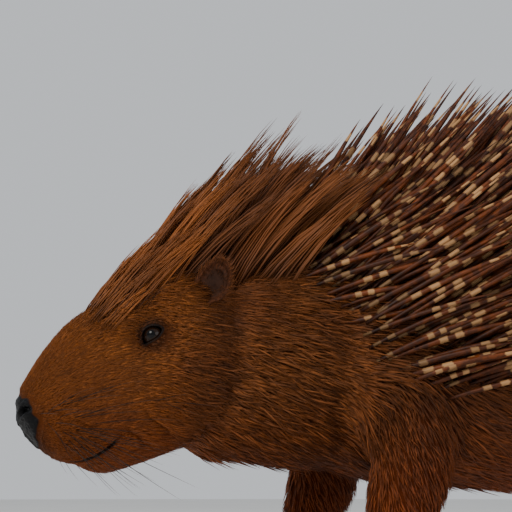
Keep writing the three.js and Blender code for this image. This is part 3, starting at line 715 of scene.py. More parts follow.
def press_nose(points, push, bare):
    """The cleft of the upper lip and the bare pad, with its groove, upper fold and pebbles."""
    along, out, up = head_place(points)
    cleft = smooth(-36, -30, up) * smooth(-4, -10, up) * smooth(20, 12, along)
    push -= 1.7 * cleft * bell(out, 1.0)
    push += 0.7 * cleft * bell(np.abs(out) - 2.6, 1.6)
    half = mix(PAD["low"], PAD["wide"], smooth(-24, 0, up))
    above = up - PAD["middle"]
    shares = (np.abs(out) / half, np.abs(above) / PAD["high"], along / PAD["back"])
    nose = sum(share**3 for share in shares) ** (1 / 3)
    turn = np.arctan2(above, out)
    edge_wave = 0.03 * np.sin(9 * turn) + 0.02 * np.sin(17 * turn)
    pad = smooth(1.06, 0.92, nose + edge_wave)
    push += 0.9 * pad - 0.4 * bell(nose - 1.1, 0.08) + pebbles(points, pad)
    push -= 1.1 * bell(out, 1.5) * smooth(-2, -8, up) * pad
    push -= 0.9 * bell(up - 7 - 0.02 * out**2, 2.2) * smooth(22, 14, np.abs(out)) * pad
    np.maximum(bare, pad, out=bare)


def press_nostrils(points, push, wet_and_shade):
    """Slanting, bent openings with a raised rim."""
    for side in (-1, 1):
        spot, back, over, outward = head_spot(NOSTRIL["at"], side * NOSTRIL["turn"])
        slant = unit(back + 0.5 * side * over)
        rel = points - spot
        u, v = rel @ slant, rel @ np.cross(outward, slant)
        v = v - side * 1.2 * (u / NOSTRIL["long"]) ** 2
        inside = np.sqrt((u / NOSTRIL["long"]) ** 2 + (v / NOSTRIL["wide"]) ** 2)
        close = np.linalg.norm(rel, axis=1) < NOSTRIL["reach"]
        push -= close * NOSTRIL["deep"] * smooth(1.15, 0.55, inside)
        push += close * 1.1 * bell(inside - 1.6, 0.45)
        # The openings are marked wet: glossy, and darkened inside as painted shade
        np.maximum(wet_and_shade, close * smooth(1.1, 0.7, inside), out=wet_and_shade)


def lids_raised(points, bare, wet_and_shade):
    """Lids laid over the eyeballs with an opening, a rolled edge, a crease and fine rays."""
    for outward, (u, v, w), share in eye_places(points):
        flat = u**2 + v**2
        near = (w > -6) & (flat < 19**2)
        dome = np.sqrt(np.maximum(LID["radius"] ** 2 - flat, 0.01))
        lifted = 0.5 * (w + dome + np.sqrt((w - dome) ** 2 + LID["soft"] ** 2))
        lifted = mix(lifted, w, smooth(11, 17, np.sqrt(flat)))
        crease = np.where(v > 0, 0.9, 0.55) * bell(share - 1.62, 0.16)
        roll = np.where(v > 0, 0.55, 0.3) * bell(share - 1.22, 0.16)
        angle = np.arctan2(v, u)
        rays = 0.16 * np.sin(angle * 26) * smooth(1.2, 1.5, share) * smooth(2.6, 1.7, share)
        rays *= smooth(0.5, 0.9, np.abs(np.cos(angle)))
        lifted = lifted + roll - crease + rays
        behind = np.sqrt(np.maximum((EYE["radius"] - LID["thick"]) ** 2 - flat, 0.01))
        moved = np.where(near, mix(behind, lifted, smooth(0.94, 1.03, share)), w)
        points = points + outward * (moved - w)[:, None]
        np.maximum(bare, near * smooth(1.36, 1.16, share), out=bare)
        np.maximum(wet_and_shade, 0.25 * near * smooth(1.08, 1.0, share), out=wet_and_shade)
    return points


def sculpted(points, normals):
    """The face's features pressed into the skin, with how bare and how wet it is there; the wet mask also
    darkens the mouth's slit and the nostrils as painted shade.
    """
    push, bare, wet_and_shade = (np.zeros(len(points)) for _ in range(3))
    press_folds(points, push)
    press_mouth(points, push, bare, wet_and_shade)
    press_nose(points, push, bare)
    press_nostrils(points, push, wet_and_shade)
    return lids_raised(points + normals * push[:, None], bare, wet_and_shade), bare, wet_and_shade


def muscled(points, normals):
    """Shoulders, thighs and the hollows of elbow and knee under the coat."""
    push = np.zeros(len(points))
    for name, table, _, side, stride in LEGS:
        stops = np.array(leg_stops(table, side, stride))
        shoulder = stops[1, :3] + np.array([4, 20 * side, 6])
        away = np.linalg.norm((points - shoulder) * np.array([0.8, 1, 0.55]), axis=1)
        push += 4.0 * bell(away, 26)
        bent_side = -34 if "hind" in name else 34
        line = through(stops[1:4, :3] + np.array([bent_side, 16 * side, 0]), 16)
        push -= 2.2 * bell(from_line(points, line)[0], 9)
    return points + normals * push[:, None]


def zones():
    """Where the skin's faces are split for finer detail, each zone inside the one before."""
    eyes = [eye_frame(side)[0] for side in (-1, 1)]
    line = mouth_line()

    def whole_head(points):
        along, out, up = head_place(points)
        return (along < 150) & (along > -20) & (np.abs(out) < 90) & (np.abs(up) < 100)

    def eyes_mouth_and_nose(points):
        nose = head_place(points)[0] < 16
        return near_points(points, eyes, 22) | near_points(points, line[::3], 8) | nose

    def lids_and_lips(points):
        return near_points(points, eyes, 13.5) | near_points(points, line, 3.3)

    return whole_head, eyes_mouth_and_nose, lids_and_lips


def finished_skin():
    """The skin, and the surface that the coat grows on: points, normals, how bare it is and triangles."""
    mesh = fused_skin()
    set_points(mesh, muscled(points_of(mesh) / MM, normals_of(mesh)) * MM)
    for zone in zones():
        refined(mesh, zone)
    points, bare, wet_and_shade = sculpted(points_of(mesh) / MM, normals_of(mesh))
    soles = smooth(3.0, 1.2, points[:, 2])
    bare = np.maximum(bare, soles)
    points[:, 2] = np.maximum(points[:, 2], FLOOR_GAP)
    set_points(mesh, to_scene(points))
    put_values(mesh, "root_place", to_scene(points))
    put_values(mesh, "bare", bare)
    put_values(mesh, "wet_and_shade", wet_and_shade)
    return mesh, (points, normals_of(mesh), bare, triangles_of(mesh))


# Strands: quills, bristles, whiskers and tufts of the coat


def grown_strands(start, bend, end, across, radius, profile, corners, flat=1.0, tip=1.0):
    """Rings along many curves from start to end by way of bend.

    profile gives shares of the way with the share of the radius there. Each strand ends in one
    point at the share tip of its way. Returns points (strands, points of one, 3), the reach along
    the strand of each point, and the faces of one strand with their corners' places.
    """
    shares, sizes = np.array(profile, float).T
    t = np.append(shares, tip)[None, :, None]
    a, b, c = start[:, None], bend[:, None], end[:, None]
    centre = (1 - t) ** 2 * a + 2 * t * (1 - t) * b + t * t * c
    ahead = unit((1 - t) * (b - a) + t * (c - b))[:, :-1]
    side = unit(across[:, None] - ahead * dot(ahead, across[:, None]))
    over = np.cross(ahead, side)
    angle = np.arange(corners) * TURN / corners
    spoke = side[:, :, None] * np.cos(angle)[:, None] + flat * over[:, :, None] * np.sin(angle)[:, None]
    ring = centre[:, :-1, None] + spoke * (radius[:, None] * sizes)[:, :, None, None]
    points = np.concatenate([ring.reshape(len(start), -1, 3), centre[:, -1:]], axis=1)
    reach = np.append(np.repeat(shares, corners), tip)
    return (points, reach, *strand_faces(len(profile), corners))


def strand_faces(rings, corners):
    """Triangles of one strand, with each corner's place round and along it between 0 and 1."""
    faces, places = [], []
    rise = 1 / rings
    for r in range(rings - 1):
        for k in range(corners):
            a, b = r * corners + k, r * corners + (k + 1) % corners
            left, right = k / corners, (k + 1) / corners
            low, high = r * rise, (r + 1) * rise
            faces += [(a, b, a + corners), (b, b + corners, a + corners)]
            places += [((left, low), (right, low), (left, high)), ((right, low), (right, high), (left, high))]
    first = (rings - 1) * corners
    for k in range(corners):
        left, right = k / corners, (k + 1) / corners
        faces.append((first + k, first + (k + 1) % corners, rings * corners))
        places.append(((left, 1 - rise), (right, 1 - rise), ((left + right) / 2, 1)))
    for k in range(1, corners - 1):
        faces.append((0, k + 1, k))
        places.append(((0, 0), ((k + 1) / corners, 0), (k / corners, 0.1 * rise)))
    return np.array(faces), np.array(places)


def unwrapped(points):
    """A place on the unwrap of the skin's own shape for points in the animal's frame.

    Trunk and head open along the belly, from the nose to the tail.
    """
    x, y, z = points.T
    turn = np.arctan2(y, z - np.interp(x, *SPINE))
    return np.stack([x, turn * 60], axis=1)


def leg_unwrapped(points):
    """Legs side by side: round each leg across, and its height up."""
    stops = np.array([leg_stops(table, side, stride) for _, table, _, side, stride in LEGS])
    middles = stops[:, 4, :2]
    which = np.argmin(np.linalg.norm(points[:, None, :2] - middles[None], axis=2), axis=1)
    rel = points[:, :2] - middles[which]
    turn = np.arctan2(rel[:, 1], rel[:, 0]) / TURN
    return np.stack([which * 1.1 + turn, points[:, 2] * 0.02], axis=1)


def ranked(roots):
    """A grid with a cell for each root, in the order of their places on the unwrap."""
    places = unwrapped(roots)
    count = len(places)
    columns = math.ceil(math.sqrt(count))
    cells = np.zeros((count, 2))
    for column, chosen in enumerate(np.array_split(np.argsort(places[:, 0]), columns)):
        inside = chosen[np.argsort(places[chosen, 1])]
        cells[inside, 0] = column / columns
        cells[inside, 1] = np.arange(len(inside)) / len(inside)
    return cells


def strand_piece(name, made, draws, roots, material, slot, patch, unwrap=ranked):
    """One piece of many like strands, with a patch for each at its root's place on the unwrap."""
    points, reach, faces, places = made
    count, each, _ = points.shape
    triangles = (faces[None] + (np.arange(count) * each)[:, None, None]).reshape(-1, 3)
    mesh = new_mesh(name, to_scene(points.reshape(-1, 3)), triangles)
    put_values(mesh, "reach", np.tile(reach, count))
    put_values(mesh, "draw", np.repeat(draws, each))
    put_values(mesh, "root_place", np.repeat(to_scene(roots), each, axis=0))
    flat = unwrap(roots)
    low, high = flat.min(axis=0), flat.max(axis=0)
    corner = (flat - low) / (high - low) * (0.998 - patch) + 0.001
    layer = mesh.uv_layers.new(name="OFBake")
    spots = corner[:, None, None] + places[None] * patch
    layer.uv.foreach_set("vector", spots.astype(np.float32).ravel())
    shown(name, mesh, material, slot)


def gathered(parts):
    """Like strands of several parts as one, each part given as its strands and rows of values."""
    made, *values = zip(*parts)
    points = np.concatenate([one[0] for one in made])
    return (points, *made[0][1:]), *(np.concatenate(each) for each in values)


def rows_piece(name, rows, across, profile, corners, finish, slot, patch, rng, flat=1.0):
    """One piece of strands given as rows of start, bend, end and radius."""
    start, bend, end, radius = (np.array(column) for column in zip(*rows))
    across = np.tile(across, (len(rows), 1))
    made = grown_strands(start, bend, end, across, radius, profile, corners, flat)
    strand_piece(name, made, rng.random(len(rows)), start, finish, slot, patch)


def spread_roots(form, first, last, spacing, edge, rng):
    """Staggered roots over a form, out to the edge angle on each side."""
    places, turns = [], []
    rows = round((last - first) / spacing)
    for row in range(rows + 1):
        at = mix(first, last, row / rows)
        top, _, half, waist = size_at(form, np.array([at]))[0]
        reach = edge(at)
        count = max(2, round(reach * (half + top - waist) / spacing))
        shift = (0.25 if row % 2 else -0.25) + 0.7 * (rng.random(count) - 0.5)
        turns.append(mix(-reach, reach, np.clip((np.arange(count) + 0.5 + shift) / count, 0, 1)))
        places.append(np.clip(at + spacing * (rng.random(count) - 0.5), first, last))
    return np.concatenate(places), np.concatenate(turns)


def aimed(pitch, splay, side):
    """Directions that point back, up by pitch and out to the side by splay, both in degrees."""
    pitch, splay = np.radians(pitch), np.radians(splay)
    flat = np.cos(pitch)
    return np.stack([flat * np.cos(splay), side * np.sin(splay) * flat, np.sin(pitch)], axis=1)


def lifted_off(aim, out, least=0.3):
    """Aims turned out of the skin where they point less steeply than least."""
    return unit(aim + out * np.maximum(0, least - dot(aim, out)))


def quill_edge(at):
    """How far round the body the quills reach, less far near the nape, with an uneven edge."""
    share = np.clip((at - QUILL["from"]) / (QUILL["full_edge"] - QUILL["from"]), 0, 1)
    uneven = 1 + 0.03 * np.sin(at * 0.06) + 0.025 * np.sin(at * 0.17 + 1)
    return QUILL["edge"] * mix(QUILL["front_edge"], 1, share) * uneven


def quills_on(form, first, last, rng):
    """Quills of one form, with a draw for each, the angle that it stands at and its root."""
    at, turn = spread_roots(form, first, last, QUILL["spacing"], quill_edge, rng)
    count = len(at)
    root, _, _, out = face_of(form, at, turn)
    along = np.clip((at - QUILL["from"]) / (QUILL["to"] - QUILL["from"]), 0, 1)
    off = np.abs(turn) / quill_edge(at)
    side = np.sign(turn)
    longest = QUILL["length"] + QUILL["longer"] * np.sin(math.pi * mix(0.05, 0.95, along))
    length = longest * (1 - QUILL["low_shorter"] * off**2) * mix(0.7, 1.1, rng.random(count) ** 0.7)
    lowered = 1 - QUILL["low_flatter"] * off**1.5
    pitch = mix(*QUILL["pitch"], along) * lowered + 11 * (rng.random(count) - 0.5)
    splay = QUILL["splay"] * off + 10 * (rng.random(count) - 0.5)
    aim = lifted_off(aimed(pitch, splay, side), out)
    last_aim = aimed(pitch - QUILL["bend"], 0.8 * splay, side)
    start = root - aim * QUILL["sink"]
    bend = root + aim * length[:, None] / 2
    end = bend + last_aim * length[:, None] / 2
    radius = QUILL["thick"] * mix(0.7, 1.16, rng.random(count)) * (1 - 0.2 * off)
    across = unit(np.cross(aim, UP + 0.01))
    made = grown_strands(start, bend, end, across, radius, QUILL_PROFILE, 5)
    return made, rng.random(count), turn, root


def quills():
    rng = np.random.default_rng(7)
    neck = quills_on(NECK, QUILL["from"], QUILL["on_neck"], rng)
    back = quills_on(TORSO, QUILL["on_torso"], QUILL["to"], rng)
    made, draws, turns, roots = gathered([neck, back])
    for name, half in zip(("quills_left", "quills_right"), np.array_split(np.argsort(turns), 2)):
        some = (made[0][half], *made[1:])
        strand_piece(name, some, draws[half], roots[half], quill_finish, "quills", PATCH["quill"])


def crest_on(form, first, last, lengths, pitches, seed):
    """Bristles of one form with a draw and the root of each, gathered in locks whose tips run together."""
    rng = np.random.default_rng(seed)
    at, turn = spread_roots(form, first, last, CREST["spacing"], lambda _: CREST["edge"], rng)
    locks = len(at)
    along = np.clip((at - first) / (last - first), 0, 1)
    off = np.abs(turn) / CREST["edge"]
    side = np.sign(turn)
    length = mix(*lengths, along) * (1 - CREST["side_shorter"] * off) * mix(0.86, 1.1, rng.random(locks))
    pitch = mix(*pitches, along) - CREST["lower"] * off + 8 * (rng.random(locks) - 0.5)
    splay = CREST["splay"] * off + 8 * (rng.random(locks) - 0.5)
    aim, last_aim = aimed(pitch, splay, side), aimed(pitch - CREST["bend"], splay, side)
    root, _, _, out = face_of(form, at, turn)
    tip = root + (aim + last_aim) * length[:, None] / 2
    lock = np.repeat(np.arange(locks), CREST["bristles"])
    count = len(lock)
    spread = CREST["spread"] * np.sqrt(rng.random((count, 1))) * unit(rng.normal(size=(count, 3)))
    spread -= out[lock] * dot(spread, out[lock])
    own = mix(0.72, 1.06, rng.random(count) ** 0.6)[:, None]
    start = root[lock] + spread - aim[lock] * CREST["sink"]
    bend = root[lock] + spread * 0.9 + aim[lock] * length[lock, None] / 2 * own
    stray = rng.normal(size=(count, 3)) * CREST["stray"]
    end = mix(root[lock] + spread, tip[lock] + spread * 0.3, own) + stray
    thinner = np.clip(length[lock] / CREST["thin_below"], 0.6, 1)
    radius = CREST["thick"] * mix(0.7, 1.25, rng.random(count)) * thinner
    across = unit(rng.normal(size=(count, 3)))
    made = grown_strands(start, bend, end, across, radius, CREST_PROFILE, 4)
    draws = np.clip(0.7 * rng.random(locks)[lock] + 0.3 * rng.random(count), 0, 1)
    return made, draws, root[lock] + spread


def crest():
    made, draws, roots = gathered([crest_on(*part) for part in CREST_PARTS])
    strand_piece("crest", made, draws, roots, crest_finish, "crest", PATCH["crest"])


def rattle():
    """Blunt, hollow quills on thin stalks round the tip of the tail, open at their ends."""
    rng = np.random.default_rng(23)
    count = RATTLE["count"]
    spine = through(TAIL, 200)[:, :3]
    t = np.linspace(0.42, 0.97, count)
    place = (t * (len(spine) - 1)).astype(int)
    spot = spine[place]
    ahead = unit(np.gradient(spine, axis=0))[place]
    turn = 2.4 * np.arange(count)
    out = unit(np.stack([np.zeros(count), np.sin(turn), 0.8 * np.cos(turn) + 0.2], axis=1))
    aim = unit(ahead * 1.1 + out * mix(0.75, 0.35, t)[:, None])
    length = mix(RATTLE["long"], RATTLE["short"], rng.random(count))[:, None]
    end = spot + aim * length
    bend = (spot + end) / 2 + rng.normal(size=(count, 3)) * 1.2
    radius = RATTLE["thick"] * mix(0.85, 1.05, rng.random(count))
    made = grown_strands(spot, bend, end, unit(np.cross(aim, UP)), radius, RATTLE_PROFILE, 12, tip=0.8)
    draws = rng.random(count)
    strand_piece("rattle_quills", made, draws, spot, rattle_finish, "quills", PATCH["rattle"])


# Eyes, ears, claws and whiskers


def eyeball(side, name):
    """A ball with a raised cornea, its pole towards the lids' opening."""
    centre, back, over, out = eye_frame(side)
    down = np.linspace(0.01, math.pi - 0.01, 48)[:, None]
    turn = round_turn(64)[None, :]
    radius = EYE["radius"] + EYE["cornea"] * bell(down, 0.5)
    wide = radius * np.sin(down)
    pole = (out, radius * np.cos(down) * np.ones_like(turn))
    rings = rings_on(centre, pole, (back, wide * np.cos(turn)), (over, wide * np.sin(turn)))
    points, triangles = over_rings(rings)
    mesh = new_mesh("eyeball_" + name, to_scene(points), triangles[:, ::-1] if side < 0 else triangles)
    rel = points - centre
    put_values(mesh, "from_pupil", np.arccos(np.clip(unit(rel) @ out, -1, 1)))
    put_values(mesh, "round_pupil", np.arctan2(rel @ over, rel @ back))
    shown("eyeball_" + name, mesh, eye_finish, "eye", "eye_" + name)


def ear_frame(side):
    """Centre of an ear, with the directions up along it, out of its hollow and across it."""
    point, _, _, out = head_spot(EAR["at"], side * EAR["turn"])
    tall = unit(np.array([0.42, 0.42 * side, 0.86]))
    facing = np.array([-0.62, 0.76 * side, 0.05])
    facing = unit(facing - tall * (facing @ tall))
    return point + tall * EAR["lift"] + out * 3, tall, facing, np.cross(tall, facing)


def ear(side, name):
    """A rounded cup with a rolled rim, a fold inside it and a notch at the front of its base."""
    centre, tall, facing, across = ear_frame(side)
    angle = round_turn(EAR["around"])[None, :]
    inner = np.linspace(0.02, 1, 30)[:, None]
    back = np.linspace(1, 0.05, 22)[:, None]
    rim = 1 + 0.05 * np.cos(2 * angle) - 0.14 * bell(angle - 3.9, 0.35) + 0.02 * np.sin(3 * angle + 1)
    low_front = bell(np.angle(np.exp(1j * (angle - 3.3))), 0.9)
    bowl = -4.2 * (1 - inner**2.2) - 1.2 * bell(inner - 0.3, 0.25) * low_front
    fold = 1.7 * bell(inner - 0.62, 0.09) * smooth(0.2, 0.9, np.cos(angle + 0.4))
    curl = 0.9 * bell(inner - 0.9, 0.06)
    back_height = -5.8 * (1 - back**2.4) - 1.3 * (1 - bell(back - 1, 0.06)) + 0.2
    flat = np.ones_like(angle)
    heights = np.vstack([bowl + fold + curl + 0.4, 1.1 * flat, back_height * flat])
    spans = np.vstack([inner * rim, 1.035 * rim, (back * 1.03) * rim])
    upwards = (tall, EAR["high"] * spans * np.cos(angle))
    sideways = (across, EAR["wide"] * spans * np.sin(angle) * side)
    points, triangles = over_rings(rings_on(centre, upwards, sideways, (facing, heights + 0.8)))
    mesh = new_mesh("ear_cup_" + name, to_scene(points), triangles)
    hollow = np.append(1 - inner[:, 0] ** 2, np.zeros(1 + len(back)))
    put_values(mesh, "hollow", np.concatenate([np.repeat(hollow, EAR["around"]), [1, 0]]))
    shown("ear_cup_" + name, mesh, ear_finish, "skin", "ear_" + name)


def claws():
    rng = np.random.default_rng(4)
    rows = []
    for _, table, foot, side, stride in LEGS:
        for _, _, _, end, ahead in toes_of(foot, leg_stops(table, side, stride)[-1]):
            middle = end + ahead * CLAW["middle"] * foot["claw"]
            places = (end - ahead * CLAW["sunk"], middle, end + ahead * foot["claw"])
            rows.append((*at_heights(places, CLAW["heights"]), CLAW["thick"]))
    rows_piece("claws", rows, SIDEWAYS, CLAW_PROFILE, 12, claw_finish, "claw", PATCH["claw"], rng, flat=1.2)


def whisker_spots(rng):
    """Places along the head, turns in degrees, lengths and radii of one side's whiskers."""
    thick, thin = WHISKER["thick"], WHISKER["thin"]
    spots = []
    for row in range(WHISKER["rows"]):
        for k in range(WHISKER["each"]):
            back, down = k / (WHISKER["each"] - 1), row / (WHISKER["rows"] - 1)
            turn = mix(84, 122, down) + rng.normal() * 1.5
            spots.append((mix(13, 38, back) + row * 1.5, turn, mix(52, 96, back), thick))
    spots += [(96 + 4 * k, 47 + 2 * k, 46 + 6 * k, thin) for k in range(4)]
    return spots + [(84 + 5 * k, 104 + 3 * k, 52 + 5 * k, thin) for k in range(3)]


def whiskers():
    """Rows of whiskers on the pads beside the nose, a few over the eyes and on the cheeks."""
    rng = np.random.default_rng(11)
    rows = []
    for side in (-1, 1):
        for at, turn, length, radius in whisker_spots(rng):
            root, back, _, out = head_spot(at, side * math.radians(turn))
            root = root - out * DEPTH["head"]
            lean = unit(out * 0.75 + back * 0.55 + UP * rng.normal() * 0.12 - UP * 0.1)
            length = length * mix(0.8, 1.1, rng.random())
            bend = root + lean * length * 0.5
            end = root + lean * length * 0.7 + (back * 0.35 - UP * 0.2 + out * 0.05) * length * 0.5
            rows.append((root - out * 2, bend, end, radius))
    rows_piece("whiskers", rows, UP, WHISKER_PROFILE, 4, whisker_finish, "crest", PATCH["whisker"], rng)


def lashes():
    """Short dark lashes along both upper lids."""
    rng = np.random.default_rng(12)
    rows = []
    for side in (-1, 1):
        centre, back, over, out = eye_frame(side)
        for angle in np.linspace(0.35, math.pi - 0.3, LASH["count"]):
            edge = back * math.cos(angle) * LID["long"] * 1.03 + over * math.sin(angle) * LID["high"] * 1.04
            root = centre + edge + out * math.sqrt(max(LID["radius"] ** 2 - edge @ edge, 1))
            lean = unit(out * 0.9 + over * 0.5 + unit(edge) * 0.5 + rng.normal(size=3) * 0.08)
            length = mix(LASH["short"], LASH["long"], rng.random())
            end = root + lean * length * 0.8 + over * length * 0.35
            rows.append((root - out * 0.8, root + lean * length * 0.6, end, LASH["thick"]))
    rows_piece("lashes", rows, UP, WHISKER_PROFILE, 3, whisker_finish, "crest", PATCH["lash"], rng)


# The short coat


def level_line(x):
    """Points at the places x on the trunk's middle line."""
    return np.stack([x, 0 * x, TRUNK_HEIGHT + 0 * x], 1)


def bones():
    """Middle lines of the forms: kind, points and radii."""
    at = np.linspace(0, HEAD_END, 12)
    neck, torso, tail = np.linspace(-245, -150, 5), np.linspace(-140, 320, 12), through(TAIL, 8)
    yield "head", placed(HEAD, at, 0 * at, np.full(12, -8.0)), np.interp(at, *HEAD_RADII)
    yield "neck", level_line(neck), np.linspace(60, 78, 5)
    yield "torso", level_line(torso), np.interp(torso, *TORSO_RADII)
    yield "tail", tail[:, :3], tail[:, 3]
    for _, table, foot, side, stride in LEGS:
        stops = through(leg_stops(table, side, stride), 12)[3:]
        yield "leg", stops[:, :3], stops[:, 3:].mean(axis=1)
        x, y = stops[-1, :2]
        heel, toe = (x + 8, y, 9), (x - foot["ahead"] - foot["long"] * 0.9, y, 7)
        yield "foot", np.array([heel, toe]), np.array([20.0, 18.0])


def bone_shares(points):
    """How much each kind of bone counts at points, as a dictionary of shares that add up to 1."""
    kinds = {}
    for kind, line, radii in bones():
        for i, t, _, away in nearest_spots(points, line):
            kinds[kind] = np.minimum(kinds.get(kind, 1e9), away / mix(radii[i], radii[i + 1], t))
    force = {kind: np.exp(-10 * (away - 1)) for kind, away in kinds.items()}
    total = sum(force.values())
    return {kind: value / total for kind, value in force.items()}


def combed(points, normals, shares):
    """The direction of the coat's lie on the skin."""
    lie = sum(shares[name][:, None] * np.array(way, float) for name, way in LIE.items())
    along, out, up = head_place(points)
    lie = lie - UP * (0.42 * shares["head"] * smooth(40, 150, along))[:, None]
    snout = smooth(22, 4, along)[:, None] * shares["head"][:, None]
    from_nose = placed(HEAD, 0 * along, out, up) - placed(HEAD, 0.0, 0.0, 0.0)
    lie = lie + snout * unit(from_nose) * 1.2
    lie = lie - normals * dot(lie, normals)
    return unit(lie)


def coat_length(points, shares):
    """Lengths by the bone, shorter on the snout, by the eyes and mouth and on the lower legs."""
    length = sum(shares[name] * value for name, value in LONG.items())
    along, _, up = head_place(points)
    length *= mix(1, mix(0.36, 1, smooth(4, 60, along)) * mix(1, 1.9, smooth(92, 172, along)), shares["head"])
    length *= mix(1, mix(1.5, 1, smooth(-60, -30, up)), shares["head"] * smooth(60, 110, along))
    for _, (u, v, w), _ in eye_places(points):
        length *= mix(0.34, 1, smooth(9, 34, np.sqrt(u**2 + v**2 + w**2)))
    by_mouth = np.full(len(points), 99.0)
    close = np.flatnonzero(along < 75)
    by_mouth[close] = from_line(points[close], mouth_line()[::4])[0]
    length *= mix(0.4, 1, smooth(1, 12, by_mouth))
    return length * mix(1, mix(0.62, 1.15, smooth(20, 110, points[:, 2])), shares["leg"])


def samples(surface, count, wanted, rng):
    """Points, normals and values spread evenly over a surface, as many per area as wanted says."""
    points, normals, values, triangles = surface
    a, b, c = (points[triangles[:, k]] for k in range(3))
    area = np.linalg.norm(np.cross(b - a, c - a), axis=1) / 2
    weight = area * wanted[triangles].mean(axis=1)
    cell = np.floor((a + b + c) / 3 / 7).astype(int)
    order = np.lexsort((cell[:, 2], cell[:, 1], cell[:, 0]))
    ladder = np.cumsum(weight[order])
    stops = (np.arange(count) + rng.random(count)) / count * ladder[-1]
    chosen = order[np.minimum(np.searchsorted(ladder, stops), len(order) - 1)]
    s, t = rng.random(count), rng.random(count)
    over = s + t > 1
    s[over], t[over] = 1 - s[over], 1 - t[over]
    share = np.stack([1 - s - t, s, t], axis=1)
    corners = triangles[chosen]
    fields = (points, normals, values)
    root, normal, value = (np.einsum("nk,nk...->n...", share, field[corners]) for field in fields)
    return root, unit(normal), value


def tufts(name, root, normal, lie, length, width, lift, rng, unwrap=unwrapped):
    """Tufts that lie along the body, each bent towards the skin."""
    count = len(root)
    length = length * mix(0.72, 1.18, rng.random(count))
    sway = unit(np.cross(normal, lie)) * (rng.normal(size=(count, 1)) * 0.13)
    lie = unit(lie + sway)
    rise = np.radians(mix(*lift, rng.random(count)))[:, None]
    aim = lie * np.cos(rise) + normal * np.sin(rise)
    flatter = rise * 0.25
    last_aim = unit(lie * np.cos(flatter) + normal * np.sin(flatter) + sway * 0.6)
    start = root - normal * 0.8 - lie * 0.6
    bend = root + aim * length[:, None] * 0.5
    end = bend + last_aim * length[:, None] * 0.5
    radius = width * np.sqrt(length / 12) * mix(0.75, 1.2, rng.random(count))
    across = unit(np.cross(normal, lie) + normal * rng.normal(size=(count, 1)) * 0.3)
    made = grown_strands(start, bend, end, across, radius, TUFT_PROFILE, 3, flat=0.6)
    made[0][:, :, 2] = np.maximum(made[0][:, :, 2], FLOOR_GAP)
    strand_piece(name, made, rng.random(count), root, coat_finish, "coat", PATCH["tuft"], unwrap)


def skin_tufts(name, kind, wanted, number=0, longer=1.0, unwrap=unwrapped):
    """Tufts on the skin, as many per area as wanted says, and none where it is bare or under an ear."""
    count, width, seed, lift = TUFTS[kind]
    rng = np.random.default_rng(seed + number)
    root, normal, bare = samples(skin_surface, count, wanted, rng)
    keep = bare < 0.35
    for side in (-1, 1):
        centre, *axes = ear_frame(side)
        sizes = (EAR["high"], EAR["deep"], EAR["wide"])
        up, forth, aside = (((root - centre) @ axis / size) ** 2 for axis, size in zip(axes, sizes))
        keep &= up + aside + forth > 0.8
    root, normal = root[keep], normal[keep]
    shares = bone_shares(root)
    lie = combed(root, normal, shares)
    tufts(name, root, normal, lie, coat_length(root, shares) * longer, width, lift, rng, unwrap)


def ear_tufts(side, name):
    """Short hair on the back and the rim of an ear, sparse in its hollow, pointing up and out."""
    count, width, seed, lift = TUFTS["ear"]
    rng = np.random.default_rng(seed + side)
    mesh = bpy.data.objects["ear_cup_" + name].data
    points = points_of(mesh) / MM - SHIFT
    hollow = read(mesh.attributes["hollow"].data, "value", 1)[:, 0]
    surface = (points, normals_of(mesh), hollow, triangles_of(mesh))
    centre, tall, facing, _ = ear_frame(side)
    behind = smooth(1, -2, (points - centre) @ facing)
    wanted = (0.5 + behind) * (hollow < 0.4) + 0.3 * (hollow < 0.85)
    root, normal, _ = samples(surface, count, wanted, rng)
    lie = tall * 0.9 + unit(root - centre) * 0.5 - facing * 0.1
    lie = unit(lie - normal * dot(lie, normal))
    tufts("coat_ear_" + name, root, normal, lie, np.full(len(root), EAR_HAIR), width, lift, rng)


def coat():
    points = skin_surface[0]
    shares = bone_shares(points)
    along = head_place(points)[0]
    face = shares["head"] * smooth(95, 60, along)
    cheeks = shares["head"] * smooth(60, 95, along)
    quilled = smooth(150, 190, points[:, 2]) * smooth(-118, -90, points[:, 0]) * shares["torso"]
    body = (shares["torso"] + shares["neck"] + shares["tail"]) * (1 - 0.7 * quilled)
    limbs = shares["leg"] + shares["foot"] * 1.8
    left = (points[:, 1] < 0).astype(float)
    for number, (side, half) in enumerate((("left", left), ("right", 1 - left))):
        for kind, wanted in (("face", face), ("cheek", cheeks), ("body", body)):
            skin_tufts("coat_" + kind + "_" + side, kind, wanted * half, number)
    skin_tufts("coat_legs", "legs", limbs, unwrap=leg_unwrapped)
    skin_tufts("guard_hairs", "guard", body + 0.5 * cheeks, longer=1.5)
    for side, name in SIDES:
        ear_tufts(side, name)


# Materials


def linear(*values):
    """A colour from the usual 0 to 255 values of red, green and blue."""
    shares = [value / 255 for value in values]
    return (*(s / 12.92 if s <= 0.04045 else ((s + 0.055) / 1.055) ** 2.4 for s in shares), 1)


def feed(tree, sockets, inputs):
    """Sets sockets to values or links them, each by its name or by i and its number."""
    for name, value in inputs.items():
        socket = sockets[int(name[1:])] if name[1:].isdigit() else sockets[name.replace("_", " ")]
        if isinstance(value, bpy.types.NodeSocket):
            tree.links.new(value, socket)
        else:
            socket.default_value = value


def add(tree, kind, settings=(), **inputs):
    """The outputs of a new node with settings and inputs."""
    made = tree.nodes.new("ShaderNode" + kind)
    for name, value in dict(settings).items():
        setattr(made, name, value)
    feed(tree, made.inputs, inputs)
    return made.outputs


